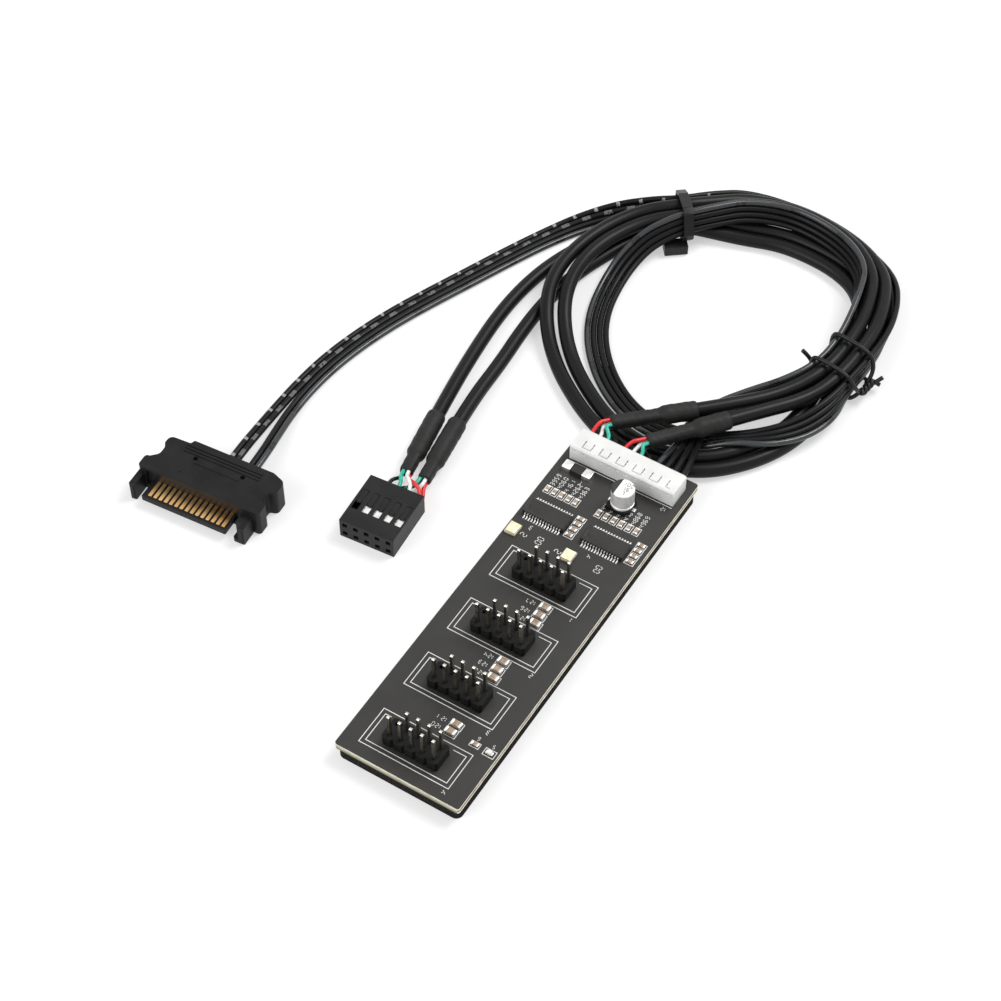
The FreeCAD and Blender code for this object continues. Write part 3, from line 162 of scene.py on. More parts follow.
INNER_ROUTE = [
    V(-36.8, 23.8, 2.5), V(-39.6, 42.0, 2.1), V(-40.3, 55.5, LOW), V(-41.4, 66.5, LOW),
    V(-41.6, 77.0, LOW), V(-40.2, 87.8, LOW), V(-37.0, 98.0, LOW),
    coil("left_2", -1.8, 1.9), coil("upper_tie", -1.7, 2.9), coil("far_0", -4.9, 2.1),
    coil("far_1", -8.0, LOW), coil("far_2", -8.6, LOW), coil("far_3", -7.9, LOW),
    coil("far_4", -6.4, LOW), coil("far_5", -4.3, LOW), coil("side_1", -2.4, LOW),
    coil("side_2", -1.75, 1.9), coil("wrap_1", -1.62, 2.9), coil("wrap_2", -1.62, 2.9),
    V(22.2, 79.8, 1.8), V(21.5, 73.0, LOW), V(19.3, 66.6, LOW), V(15.7, 60.8, LOW),
    V(10.9, 55.8, LOW), V(5.2, 52.8, LOW), V(-1.2, 51.9, LOW), V(-7.6, 52.7, LOW),
    V(-13.6, 55.0, LOW), V(-20.2, 58.9, LOW), V(-26.9, 64.0, 1.7), V(-32.5, 69.8, 3.0),
    V(-36.7, 76.4, 4.9), V(-39.0, 84.0, 5.4), V(-39.3, 92.2, 5.2),
    coil("left_1", -1.7, 5.15), coil("left_2", -1.7, 5.6), coil("upper_tie", -1.7, 6.3),
    coil("far_0", -1.5, 6.2), coil("far_1", -1.0, 6.1), coil("far_2", -0.4, 5.5),
    coil("far_3", -0.3, 5.5), coil("far_4", -0.2, 5.3), coil("far_5", -0.4, 5.2),
    coil("side_1", -1.1, 5.4), coil("side_2", -1.65, 5.8), coil("wrap_1", -1.62, 6.15),
    coil("wrap_2", -1.62, 6.15), V(17.4, 77.9, 4.9), V(9.2, 67.7, 5.9), V(-0.8, 57.6, 6.6),
]
# Power ribbon: its middle line, with the lean of its flat side in degrees at each point
RIBBON_ROUTE = [
    (V(-71.7, 11.8, 2.2), 0), (V(-72.9, 19.2, 1.0), 0),
    (V(-73.3, 27.6, RIBBON_LOW), 0), (V(-72.6, 37.0, RIBBON_LOW), 0),
    (V(-70.6, 46.8, RIBBON_LOW), 0), (V(-67.8, 56.2, RIBBON_LOW), 0), (V(-64.3, 65.4, RIBBON_LOW), 0),
    (V(-60.4, 75.0, RIBBON_LOW), 0), (V(-56.5, 84.8, RIBBON_LOW), 0), (V(-52.5, 94.0, 0.7), 0),
    (V(-47.8, 102.4, 1.1), 10), (V(-41.8, 109.0, 2.1), 38), (V(-35.6, 113.9, 3.0), 70),
    (coil("upper_tie", 4.2, 4.0), 90), (coil("far_0", 4.3, 3.1), 70), (coil("far_1", 3.9, 2.1), 42),
    (coil("far_2", 3.0, 1.0), 8), (coil("far_3", 2.6, RIBBON_LOW), 0), (coil("far_4", 2.8, RIBBON_LOW), 0),
    (coil("far_5", 3.6, 1.6), 24), (coil("side_1", 4.2, 2.5), 58), (coil("side_2", 4.3, 3.2), 80),
    (coil("wrap_1", 3.95, 4.0), 90), (coil("wrap_2", 3.95, 4.1), 92), (V(28.0, 79.0, 4.7), 130),
    (V(25.2, 71.4, 4.4), 160), (V(20.0, 65.2, 4.5), 182), (V(13.4, 62.4, 3.1), 208),
    (V(6.8, 59.4, 0.8), 182), (V(0.8, 57.9, RIBBON_LOW), 180), (V(-5.4, 57.9, RIBBON_LOW), 180),
    (V(-11.4, 59.8, RIBBON_LOW), 180), (V(-17.4, 63.5, RIBBON_LOW), 180), (V(-22.9, 68.6, RIBBON_LOW), 180),
    (V(-27.4, 74.6, RIBBON_LOW), 180), (V(-30.5, 81.4, RIBBON_LOW), 180), (V(-32.1, 88.8, 0.78), 182),
    (V(-32.4, 96.2, 2.2), 200), (V(-30.8, 102.6, 4.3), 220), (V(-27.8, 107.2, 5.8), 236),
    (coil("upper_tie", -4.1, 6.7), 245), (coil("far_0", -3.9, 6.8), 244),
    (coil("far_1", -3.6, 6.6), 242), (coil("far_2", -3.0, 5.9), 242),
    (coil("far_3", -2.9, 5.8), 242), (coil("far_4", -2.9, 5.9), 245),
    (coil("far_5", -3.0, 6.2), 252), (coil("side_1", -3.7, 6.2), 263),
    (coil("side_2", -4.2, 5.6), 270), (coil("wrap_1", -3.95, 4.9), 270),
    (coil("wrap_2", -4.0, 4.6), 272), (V(16.2, 80.5, 3.8), 280), (V(11.6, 74.6, 2.9), 298),
    (V(7.4, 68.0, 2.6), 332), (V(5.2, 61.5, 2.75), 360), (V(6.6, 55.2, 3.7), 360),
    (V(7.4, 50.0, 5.5), 360),
]
RIBBON_FAN_OUT = [0.45, 0.15]
RIBBON_LAST_SPACING = 1.75
CONDUCTOR_STRAIGHT = 1.7

# Power plug: its place, and the bores that hold the four conductors
POWER_CENTRE = V(-73.0, -6.0, 0)
POWER_TURN = 4.8
POWER_EXIT_X = 3.5
POWER_EXIT_Z = 3.5
POWER_PAIR_SPREAD = 0.7
POWER_BORE_END = 3.3
POWER_STRAIGHT_END = 10.8

# Wire connector on the board, read from its solids
WAY_PITCH = 2.0
WAYS = 12
WAFER_PIN = 0.5
terminal_low, terminal_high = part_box("wire_plug_terminals")
WAY_Z = (terminal_low.z + terminal_high.z) / 2 / MM
TERMINAL_END = terminal_high.y / MM
PLUG_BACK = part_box("wire_plug")[1].y / MM


def way_x(way):
    """Place of a connector way along X, counted from the left."""
    return (way - (WAYS - 1) / 2) * WAY_PITCH


def on_floor(point, centre, turn):
    """A point of a piece that is turned about Z and moved to a centre on the floor."""
    return centre + Matrix.Rotation(math.radians(turn), 3, "Z") @ point


def conductor_points(index):
    """Route of one power conductor, from the bottom of its bore to its connector way."""
    place = CONDUCTOR_PLACES[index]
    across_plug = POWER_EXIT_X - (place + math.copysign(POWER_PAIR_SPREAD, place)) * CONDUCTOR_PITCH
    middles = [point for point, lean in RIBBON_ROUTE]
    points = []
    for along in (POWER_BORE_END, POWER_STRAIGHT_END):
        points.append(on_floor(V(across_plug, along, POWER_EXIT_Z), POWER_CENTRE, POWER_TURN))
    for number, (middle, lean) in enumerate(RIBBON_ROUTE):
        before = middles[max(number - 1, 0)]
        after = middles[min(number + 1, len(middles) - 1)]
        heading = V(after.x - before.x, after.y - before.y, 0).normalized()
        side = UP.cross(heading)
        angle = math.radians(lean)
        across = side * math.cos(angle) + UP * math.sin(angle)
        offset = place * CONDUCTOR_PITCH
        if number < len(RIBBON_FAN_OUT):
            offset += math.copysign(RIBBON_FAN_OUT[number], place) * CONDUCTOR_PITCH
        if number == len(RIBBON_ROUTE) - 1:
            offset = place * RIBBON_LAST_SPACING
        points.append(middle + across * offset)
    way = WAYS - len(CONDUCTOR_PLACES) + index
    points.append(V(way_x(way), PLUG_BACK + CONDUCTOR_STRAIGHT, WAY_Z))
    points.append(V(way_x(way), TERMINAL_END, WAY_Z))
    return points


SPLINE_ORDER = 3


def spline_points(points, steps):
    """Points in metres along the smooth spline that a route's points control."""
    curve = bpy.data.curves.new("route", "CURVE")
    curve.dimensions = "3D"
    spline = curve.splines.new("NURBS")
    spline.points.add(len(points) - 1)
    for target, point in zip(spline.points, points):
        target.co = (*(point * MM), 1)
    spline.order_u = SPLINE_ORDER
    spline.use_endpoint_u = True
    spline.resolution_u = steps
    holder = bpy.data.objects.new("route", curve)
    bpy.context.scene.collection.objects.link(holder)
    bpy.context.view_layer.update()
    line = bpy.data.meshes.new_from_object(holder)
    found = [vertex.co.copy() for vertex in line.vertices]
    bpy.data.objects.remove(holder)
    bpy.data.curves.remove(curve)
    bpy.data.meshes.remove(line)
    return found


def directions(points):
    """Unit direction of a polyline at each of its points."""
    found = []
    for number in range(len(points)):
        before = points[max(number - 1, 0)]
        after = points[min(number + 1, len(points) - 1)]
        found.append((after - before).normalized())
    return found


def new_piece(name, mesh, smooth=True):
    """Object of the part: it is linked, shaded and rides on the root."""
    piece = bpy.data.objects.new(name, mesh)
    bpy.context.scene.collection.objects.link(piece)
    for polygon in mesh.polygons:
        polygon.use_smooth = smooth
    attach(piece, "root")
    return piece


def skin(bm, rings):
    """Quads between each closed ring of vertices and the next one."""
    for low, high in zip(rings, rings[1:]):
        for place in range(len(low)):
            bm.faces.new((low[place - 1], low[place], high[place], high[place - 1]))


def mesh_from(bm, name):
    """Mesh of a finished bmesh, with its faces turned outwards."""
    bmesh.ops.recalc_face_normals(bm, faces=bm.faces)
    mesh = bpy.data.meshes.new(name)
    bm.to_mesh(mesh)
    bm.free()
    return mesh


def tube_mesh(name, lines, radius, sides, across=None):
    """Closed round tubes along lines of points in metres.

    The UV map holds the distance along the tube in millimetres and the share of a turn round it.
    across gives, for each line, the direction where the turn starts at each of its points.
    """
    bm = bmesh.new()
    uv = bm.loops.layers.uv.new("along")
    places = {}
    for order, points in enumerate(lines):
        rings = []
        travelled = 0.0
        for number, (point, heading) in enumerate(zip(points, directions(points))):
            if number:
                travelled += (point - points[number - 1]).length / MM
            start = across[order][number] if across else UP.cross(heading)
            start = (start - heading * start.dot(heading)).normalized()
            top = heading.cross(start)
            ring = []
            for side in range(sides):
                angle = 2 * math.pi * side / sides
                outwards = start * math.cos(angle) + top * math.sin(angle)
                ring.append(bm.verts.new(point + outwards * radius * MM))
                places[ring[-1]] = (travelled, side / sides)
            rings.append(ring)
        skin(bm, rings)
        bm.faces.new(rings[0][::-1])
        bm.faces.new(rings[-1])
    for face in bm.faces:
        turns = [places[corner.vert][1] for corner in face.loops]
        wraps = max(turns) - min(turns) > 0.5
        for corner in face.loops:
            along, turn = places[corner.vert]
            corner[uv].uv = (along, turn + 1 if wraps and turn < 0.5 else turn)
    return mesh_from(bm, name)


# Cables, from the board end to the socket housing
CABLE_STEPS = 10
CABLE_SIDES = 20
CONDUCTOR_SIDES = 14
cable_paths = {}
cables = {}
for lane, route in (("outer", OUTER_ROUTE), ("inner", INNER_ROUTE)):
    cable_paths[lane] = spline_points(route[::-1], CABLE_STEPS)
    mesh = tube_mesh("cable_" + lane, [cable_paths[lane]], CABLE_DIAMETER / 2, CABLE_SIDES)
    cables[lane] = new_piece("cable_" + lane, mesh)
    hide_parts("usb_cable_" + lane)

# Power conductors; the line from the first to the last one is the ribbon's flat side
CONDUCTOR_NAMES = ["grey", "black_1", "black_2", "black_3"]
conductor_paths = []
for index in range(len(CONDUCTOR_NAMES)):
    conductor_paths.append(spline_points(conductor_points(index)[::-1], CABLE_STEPS))
ribbon_edges = zip(conductor_paths[0], conductor_paths[-1])
ribbon_side = [(first - last).normalized() for first, last in ribbon_edges]
conductors = {}
for name, path in zip(CONDUCTOR_NAMES, conductor_paths):
    mesh = tube_mesh("conductor_" + name, [path], CONDUCTOR_SHOWN / 2, CONDUCTOR_SIDES, [ribbon_side])
    conductors[name] = new_piece("conductor_" + name, mesh)
    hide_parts("power_wire_" + name)

# Sleeves at the cable ends and the loose wires that come out of them
SLEEVE_WALL = 0.5
SLEEVE_WALL_SHOWN = 0.8 * SLEEVE_WALL
SLEEVE_NECK = 3.1
# Shoulder between wires and cable: where it starts and ends, from the cable's end
SLEEVE_SHOULDER = (-1.4, 0.5)
SLEEVE_LIP_LENGTH = 0.5
SLEEVE_LIP_DEPTH = 0.16
SLEEVE_LOBE = 0.09
# Each ripple: its depth, its turn for each millimetre along, and its waves round the sleeve
SLEEVE_RIPPLES = [(0.025, 2.1, 2), (0.02, 3.7, -3)]
SLEEVE_RIPPLE_START = 1.0
SLEEVE_RINGS = 60
SLEEVE_SIDES = 28
SLEEVE_SEEDS = {"board": 11, "socket": 21}
# Length of each sleeve over the cable and over the wires
SLEEVE_LENGTHS = {"board": (7.3, 11.7), "socket": (12.0, 5.5)}
WIRE_LEAD_OUT = 1.2
WIRE_STRAIGHT = 1.3
WIRE_STEPS = 10
WIRE_SIDES = 12
# Corner of the sleeve where each wire leaves it: to the left or right, low or high
WIRE_CORNERS = {
    "board": [(-1, 1), (-1, -1), (1, 1), (1, -1)],
    "socket": [(1, -1), (1, 1), (-1, 1), (-1, -1)],
}
BOARD_ARCH = {"red": 0.9, "white": -0.3, "green": 0.3, "black": -0.7}
SOCKET_ARCH = [
    {"red": 0.2, "white": 0.3, "green": 0.6, "black": -0.5},
    {"red": 1.5, "white": 1.6, "green": 1.2, "black": 0.3},
]
SOCKET_CENTRE = V(-38.1, 5.9, 0)
SOCKET_TURN = 4.8
SOCKET_LENGTH = 13.5
SOCKET_HEIGHT = 5.2
SOCKET_CRIMP_END = 4.25
PIN_PITCH = 2.54
# Column of the first wire, counted from the middle of the socket
SOCKET_FIRST_COLUMN = 2


def wire_starts(place, cable_end, into_cable):
    """Four pairs of points where the loose wires leave a cable end and leave its sleeve."""
    outwards = into_cable * -1
    across = UP.cross(outwards).normalized()
    raised = outwards.cross(across)
    lead_out = outwards * (SLEEVE_LENGTHS[place][1] + WIRE_LEAD_OUT)
    starts = []
    for side, lift in WIRE_CORNERS[place]:
        start = cable_end + (across * side + raised * lift) * (WIRE_SPACING / 2)
        starts.append((start, start + lead_out))
    return starts


def arched(start, behind, inside, rise):
    """Points of a loose wire that rises halfway between its sleeve and its connector."""
    return [start[0], start[1], (start[1] + behind) * 0.5 + UP * rise, behind, inside]


def smooth_step(value):
    """Rises smoothly from 0 to 1."""
    share = max(0.0, min(1.0, value))
    return share * share * (3 - 2 * share)


def sleeve_mesh(name, place, cable_end, into_cable, seed):
    """Shrunk sleeve: round over the cable, four soft lobes over the wires, an open lip at each end."""
    chance = random.Random(seed)
    phases = [chance.uniform(0, 2 * math.pi) for ripple in SLEEVE_RIPPLES]
    over_cable, over_wires = SLEEVE_LENGTHS[place]
    shoulder_start, shoulder_end = SLEEVE_SHOULDER
    across = UP.cross(into_cable).normalized()
    raised = into_cable.cross(across)
    bm = bmesh.new()
    layers = []
    for wall in (0.0, SLEEVE_WALL_SHOWN):
        rings = []
        for ring in range(SLEEVE_RINGS + 1):
            along = -over_wires + (over_wires + over_cable) * ring / SLEEVE_RINGS
            on_cable = smooth_step((along - shoulder_start) / (shoulder_end - shoulder_start))
            from_end = min(along + over_wires, over_cable - along)
            radius = SLEEVE_NECK / 2 * (1 - on_cable) + (CABLE_DIAMETER / 2 + SLEEVE_WALL) * on_cable
            radius -= SLEEVE_LIP_DEPTH * (1 - smooth_step(from_end / SLEEVE_LIP_LENGTH))
            corners = []
            for side in range(SLEEVE_SIDES):
                angle = 2 * math.pi * side / SLEEVE_SIDES
                lobe = -SLEEVE_LOBE * math.cos(4 * angle) * (1 - on_cable)
                ripple = sum(depth * math.sin(turn * along + phase + waves * angle)
                             for (depth, turn, waves), phase in zip(SLEEVE_RIPPLES, phases))
                reach = radius + lobe + ripple * smooth_step(from_end / SLEEVE_RIPPLE_START) - wall
                outwards = across * math.cos(angle) + raised * math.sin(angle)
                corners.append(bm.verts.new((cable_end + into_cable * along + outwards * reach) * MM))
            rings.append(corners)
        layers.append(rings)
    outside, inside = layers
    skin(bm, outside + inside[::-1] + outside[:1])
    return mesh_from(bm, name)


lines_of = {place: {colour: [] for colour in WIRE_COLOURS} for place in ("board", "socket")}
sleeves = {}
for lane, route, first_way, row in (("inner", INNER_ROUTE, 0, 0), ("outer", OUTER_ROUTE, 4, 1)):
    ends = {
        "board": (route[-1], (route[-2] - route[-1]).normalized()),
        "socket": (route[0], (route[1] - route[0]).normalized()),
    }
    for place, (cable_end, into_cable) in ends.items():
        starts = wire_starts(place, cable_end, into_cable)
        for order, colour in enumerate(WIRE_COLOURS):
            if place == "board":
                x = way_x(first_way + order)
                behind = V(x, PLUG_BACK + WIRE_STRAIGHT, WAY_Z)
                inside = V(x, TERMINAL_END, WAY_Z)
                rise = BOARD_ARCH[colour]
            else:
                x = (SOCKET_FIRST_COLUMN - order) * PIN_PITCH
                height = SOCKET_HEIGHT / 2 + (row - 0.5) * PIN_PITCH
                bend = SOCKET_LENGTH / 2 + WIRE_STRAIGHT
                behind = on_floor(V(x, bend, height), SOCKET_CENTRE, SOCKET_TURN)
                inside = on_floor(V(x, SOCKET_CRIMP_END, height), SOCKET_CENTRE, SOCKET_TURN)
                rise = SOCKET_ARCH[row][colour]
            points = arched(starts[order], behind, inside, rise)
            lines_of[place][colour].append(spline_points(points, WIRE_STEPS))
        name = "%s_sleeve_%s" % (place, lane)
        mesh = sleeve_mesh("shrunk_" + name, place, cable_end, into_cable, SLEEVE_SEEDS[place] + row)
        sleeves[name] = new_piece("shrunk_" + name, mesh)
        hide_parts(name)

loose_wires = {}
for place in ("board", "socket"):
    for colour in WIRE_COLOURS:
        name = "%s_wires_%s" % (place, colour)
        mesh = tube_mesh("loose_" + name, lines_of[place][colour], WIRE_DIAMETER / 2, WIRE_SIDES)
        loose_wires[name] = new_piece("loose_" + name, mesh)
        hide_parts(name)

# Twist tie: two turns of coated wire round the bundle, knotted between them at its outer side
TWIST_DIAMETER = 0.95
TWIST_LOW = TWIST_DIAMETER / 2 + FLOOR_GAP
# Each point of a turn: distance towards the coil's outer side, height, and distance along the bundle
FIRST_TURN = [
    (6.2, 2.6, -3.6), (6.3, 3.2, -1.4), (5.5, 6.4, 0), (3.1, 8.5, 0), (-4.0, 8.7, 0), (-5.45, 7.4, 0),
    (-5.45, 1.9, 0), (-4.4, TWIST_LOW, 0), (4.0, TWIST_LOW, -0.4), (5.6, 1.2, -1.6), (6.2, 2.2, -3.4),
]
SECOND_TURN = [
    (6.2, 2.2, 3.4), (6.3, 3.2, 1.4), (5.5, 6.3, 0), (3.1, 8.5, 0), (-4.1, 8.6, 0), (-5.5, 7.2, 0),
    (-5.5, 1.9, 0), (-4.4, TWIST_LOW, 0), (4.0, TWIST_LOW, 0.4), (5.6, 1.2, 1.6), (6.2, 2.6, 3.6),
]
LOOSE_END = [(-5.2, 5.0, 0.6), (-6.1, 6.9, 0.4), (-7.7, 8.6, -0.4)]
KNOT_PLACE = (6.6, 2.7)
KNOT_SPAN = (1.8, 6.6)
KNOT_RADIUS = 0.66
KNOT_QUARTERS = 8
KNOT_ENDS = [(8.2, 3.9, 7.8), (8.0, 1.7, 7.4)]


def tie_points(station, outline):
    """Points of a tie round the bundle at a station."""
    along = UP.cross(coil(station, 1, 0) - coil(station, 0, 0))
    return [coil(station, reach, height) + along * shift for reach, height, shift in outline]


def knot_strand(half_turns, end):
    """Outline of one strand of the knot: it winds round the knot's middle and stands off at its end."""
    outline = []
    for quarter in range(KNOT_QUARTERS + 1):
        angle = math.pi * (half_turns + quarter / 2)
        reach = KNOT_PLACE[0] + KNOT_RADIUS * math.cos(angle)
        height = KNOT_PLACE[1] + KNOT_RADIUS * math.sin(angle)
        shift = KNOT_SPAN[0] + (KNOT_SPAN[1] - KNOT_SPAN[0]) * quarter / KNOT_QUARTERS
        outline.append((reach, height, shift))
    return outline + [end]


def carried_side(points):
    """Direction across a line at each of its points, carried along it without winding round it."""
    headings = directions(points)
    side = UP.cross(headings[0])
    found = []
    for heading in headings:
        side = (side - heading * side.dot(heading)).normalized()
        found.append(side)
    return found


twist_lines = []
for station, outline in (
    ("wrap_1", FIRST_TURN), ("wrap_2", SECOND_TURN), ("wrap_2", LOOSE_END),
    ("wrap_2", knot_strand(0, KNOT_ENDS[0])), ("wrap_2", knot_strand(1, KNOT_ENDS[1])),
):
    twist_lines.append(spline_points(tie_points(station, outline), WIRE_STEPS))
twist_sides = [carried_side(points) for points in twist_lines]
twist_tie = new_piece("coated_twist_tie", tube_mesh(
    "coated_twist_tie", twist_lines, TWIST_DIAMETER / 2, WIRE_SIDES, twist_sides))
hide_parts("twist_tie")


# Foam pad: open cells on its sides, pockets in its top for the pin tails
FOAM_CORNER = 1.5
FOAM_CORNER_POINTS = 8
FOAM_STEP = 0.28
FOAM_LAYERS = 11
FOAM_CELL = 0.55
FOAM_CELL_REACH = 0.6
FOAM_PIT = 0.3
POCKET_DEPTH = 1.6
POCKET_MARGIN = 0.98


def rounded_outline(half_x, half_y, corner, step):
    """Points round a rounded rectangle, about a step apart, with the outward direction of each."""
    found = []
    for turn, run in ((0, 2 * half_y), (90, 2 * half_x), (180, 2 * half_y), (270, 2 * half_x)):
        spin = Matrix.Rotation(math.radians(turn), 3, "Z")
        reach = half_x if turn in (0, 180) else half_y
        straight = run - 2 * corner
        count = int(straight / step)
        for place in range(count):
            point = V(reach, -straight / 2 + straight * place / count, 0)
            found.append((spin @ point, spin @ V(1, 0, 0)))
        for place in range(FOAM_CORNER_POINTS):
            angle = math.pi / 2 * place / FOAM_CORNER_POINTS
            out = V(math.cos(angle), math.sin(angle), 0)
            found.append((spin @ (V(reach - corner, straight / 2, 0) + out * corner), spin @ out))
    return found


def pocket_boxes():
    """Sides of the pockets round the pin tails, in millimetres."""
    found = []
    for number in HEADERS:
        low, high = box_mm("header_pins_%d" % number)
        found.append((low.x, high.x, low.y, high.y))
    low, high = box_mm("wafer_pins")
    found.append((low.x, high.x, low.y, low.y + WAFER_PIN))
    return [(x0 - POCKET_MARGIN, x1 + POCKET_MARGIN, y0 - POCKET_MARGIN, y1 + POCKET_MARGIN)
            for x0, x1, y0, y1 in found]


def foam_mesh():
    """Closed rounded slab with pitted sides and the pockets in its top."""
    low, high = box_mm("foam_pad")
    outline = rounded_outline(high.x, high.y, FOAM_CORNER, FOAM_STEP)
    bm = bmesh.new()
    rings = []
    for layer in range(FOAM_LAYERS + 1):
        height = low.z + (high.z - low.z) * layer / FOAM_LAYERS
        ring = []
        for point, out in outline:
            place = V(point.x, point.y, height)
            pit = 0.0
            if 0 < layer < FOAM_LAYERS:
                pit = FOAM_PIT * max(0.0, FOAM_CELL_REACH - voronoi(place / FOAM_CELL)[0][0])
            ring.append(bm.verts.new((place - out * pit) * MM))
        rings.append(ring)
    skin(bm, rings)
    bm.faces.new(rings[0][::-1])
    top = rings[-1]
    top_edges = [bm.edges.get((top[place - 1], top[place])) for place in range(len(top))]
    for x0, x1, y0, y1 in pocket_boxes():
        corners = [(x0, y0), (x1, y0), (x1, y1), (x0, y1)]
        upper = [bm.verts.new(V(x, y, high.z) * MM) for x, y in corners]
        lower = [bm.verts.new(V(x, y, high.z - POCKET_DEPTH) * MM) for x, y in corners]
        skin(bm, [upper, lower])
        bm.faces.new(lower)
        top_edges += [bm.edges.get((upper[place - 1], upper[place])) for place in range(4)]
    bmesh.ops.triangle_fill(bm, use_beauty=True, use_dissolve=False, edges=top_edges)
    return mesh_from(bm, "foam_cells")


foam = new_piece("foam_cells", foam_mesh(), smooth=False)
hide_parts("foam_pad")


# Printed lines and plain numerals on the board and the can: thin closed strips on their upper faces
SAME_PLACE = 0.0001
PRINT_HEIGHT = 0.02
PRINT_LINE = 0.17
NUMERAL_LINE = 0.16
NUMERAL_WIDTH = 0.55
NUMERAL_GAP = 2.4 * NUMERAL_LINE
NUMERAL_SHORTENED = 1.2 * NUMERAL_LINE
HEADER_BOX = (20.4, 8.8)
HEADER_BOX_INSET = 0.95
HEADER_BOX_STUB = 1.3
HEADER_BOX_RESTART = 6.4
HEADER_FIGURE = 1.0
HEADER_FIGURE_OFFSET = (-0.3, -1.0)
WAFER_LINE_INSET = 0.1
WAFER_LINE_GAP = 0.45
PART_BOX_GAP = 0.22
CAPACITOR_END = 0.5
CAPACITOR_FIGURE = 0.9
CAPACITOR_FIGURE_GAP = 1.7
CAPACITOR_FIRST = 120
# Small parts: half the outline, and the rows of numbers behind them
SMALL_PART_HALF = (0.8, 0.42)
SMALL_FIGURE = 0.95
SMALL_FIGURE_SHIFT = 0.1
SMALL_FIGURE_ROWS = [(30, 2.15), (50, 3.9)]
SMALL_SINGLE_ROW = (0, 4.8)
CRYSTAL_FIGURE = 1.4
CRYSTAL_FIGURE_GAP = 1.2
INDICATOR_GAP = (0.75, 0.4)
# Numbers beside the larger parts: node, figures, share of its box along X and Y, offset, height
# and quarter turns
BOARD_FIGURES = [
    ("wire_wafer", "12", (1, 0), (-1.2, -1.5), 0.9, 2),
    ("input_component_ends", "1", (1, 0), (-1.2, -0.9), 0.8, 2),
    ("indicator_base", "5", (0.5, 1), (0.0, 1.2), 0.8, 2),
    ("indicator_base", "6", (0, 1), (-3.0, 1.3), 0.8, 2),
]
for number in (1, 2):
    BOARD_FIGURES += [
        ("hub_chip_%d" % number, str(number + 2), (0.5, 0), (-1.4, -2.4), 1.0, 2),
        ("hub_chip_%d" % number, "00", (0.5, 0), (1.8, -4.3), 1.3, 1),
    ]
CAN_FIGURES = []
for row, figures in enumerate(("100", "16", "7")):
    CAN_FIGURES.append(("capacitor_can", figures, (0.5, 0.5), (0.65, 1.2 * (1 - row)), 0.85, 0))
# Strokes of a plain numeral in a cell one unit high: left, right, low and high share of the cell
STROKES = {
    "a": (0, 1, 1, 1), "b": (1, 1, 0.5, 1), "c": (1, 1, 0, 0.5), "d": (0, 1, 0, 0),
    "e": (0, 0, 0, 0.5), "f": (0, 0, 0.5, 1), "g": (0, 1, 0.5, 0.5),
}
NUMERALS = {
    "0": "abcdef", "1": "bc", "2": "abged", "3": "abgcd", "4": "fgbc",
    "5": "afgcd", "6": "afgedc", "7": "abc", "8": "abcdefg", "9": "abcdfg",
}
board_layer = (bmesh.new(), box_mm("circuit_board")[1].z)
can_layer = (bmesh.new(), box_mm("capacitor_can")[1].z)


def line(x0, x1, y0, y1, width=PRINT_LINE, layer=board_layer):
    """Closed strip of a width along a straight line that runs along X or along Y."""
    bm, face = layer
    half = width / 2
    left, right = min(x0, x1) - half, max(x0, x1) + half
    near, far = min(y0, y1) - half, max(y0, y1) + half
    corners = [(left, near), (right, near), (right, far), (left, far)]
    lower = [bm.verts.new(V(x, y, face) * MM) for x, y in corners]
    upper = [bm.verts.new(V(x, y, face + PRINT_HEIGHT) * MM) for x, y in corners]
    bm.faces.new(lower[::-1])
    bm.faces.new(upper)
    skin(bm, [lower, upper])


def outline_box(x, y, half_x, half_y, width=PRINT_LINE):
    """Four lines round a rectangle about its middle that meet without lying on each other."""
    for side in (-1, 1):
        line(x - half_x, x + half_x, y + side * half_y, y + side * half_y, width)
        line(x + side * half_x, x + side * half_x, y - half_y + width, y + half_y - width, width)


def numerals(text, x, y, height, turn=0, layer=board_layer):
    """Plain numerals centred on a place and turned by quarter turns."""
    width = height * NUMERAL_WIDTH
    spin = Matrix.Rotation(math.radians(90 * turn), 3, "Z")
    for order, figure in enumerate(text):
        left = (order - (len(text) - 1) / 2) * (width + NUMERAL_GAP) - width / 2
        for stroke in NUMERALS[figure]:
            x0, x1, y0, y1 = STROKES[stroke]
            first = V(left + x0 * width, (y0 - 0.5) * height, 0)
            last = V(left + x1 * width, (y1 - 0.5) * height, 0)
            inwards = (last - first).normalized() * NUMERAL_SHORTENED
            first = spin @ (first + inwards)
            last = spin @ (last - inwards)
            line(x + first.x, x + last.x, y + first.y, y + last.y, NUMERAL_LINE, layer)


def middle(low, high):
    """Middle of a box along X and along Y."""
    return (low.x + high.x) / 2, (low.y + high.y) / 2


def solid_boxes(node):
    """Low and high corner of every separate solid of a node, in millimetres."""
    piece = nodes[node]
    bm = bmesh.new()
    bm.from_mesh(piece.data)
    bmesh.ops.remove_doubles(bm, verts=bm.verts, dist=SAME_PLACE * MM)
    waiting = set(bm.verts)
    found = []
    while waiting:
        group = [waiting.pop()]
        for vertex in group:
            for edge in vertex.link_edges:
                other = edge.other_vert(vertex)
                if other in waiting:
                    waiting.remove(other)
                    group.append(other)
        places = [piece.matrix_world @ vertex.co / MM for vertex in group]
        low = V(*(min(place[axis] for place in places) for axis in range(3)))
        high = V(*(max(place[axis] for place in places) for axis in range(3)))
        found.append((low, high))
    bm.free()
    return sorted(found, key=lambda corners: (round(corners[0].y, 3), round(corners[0].x, 3)))


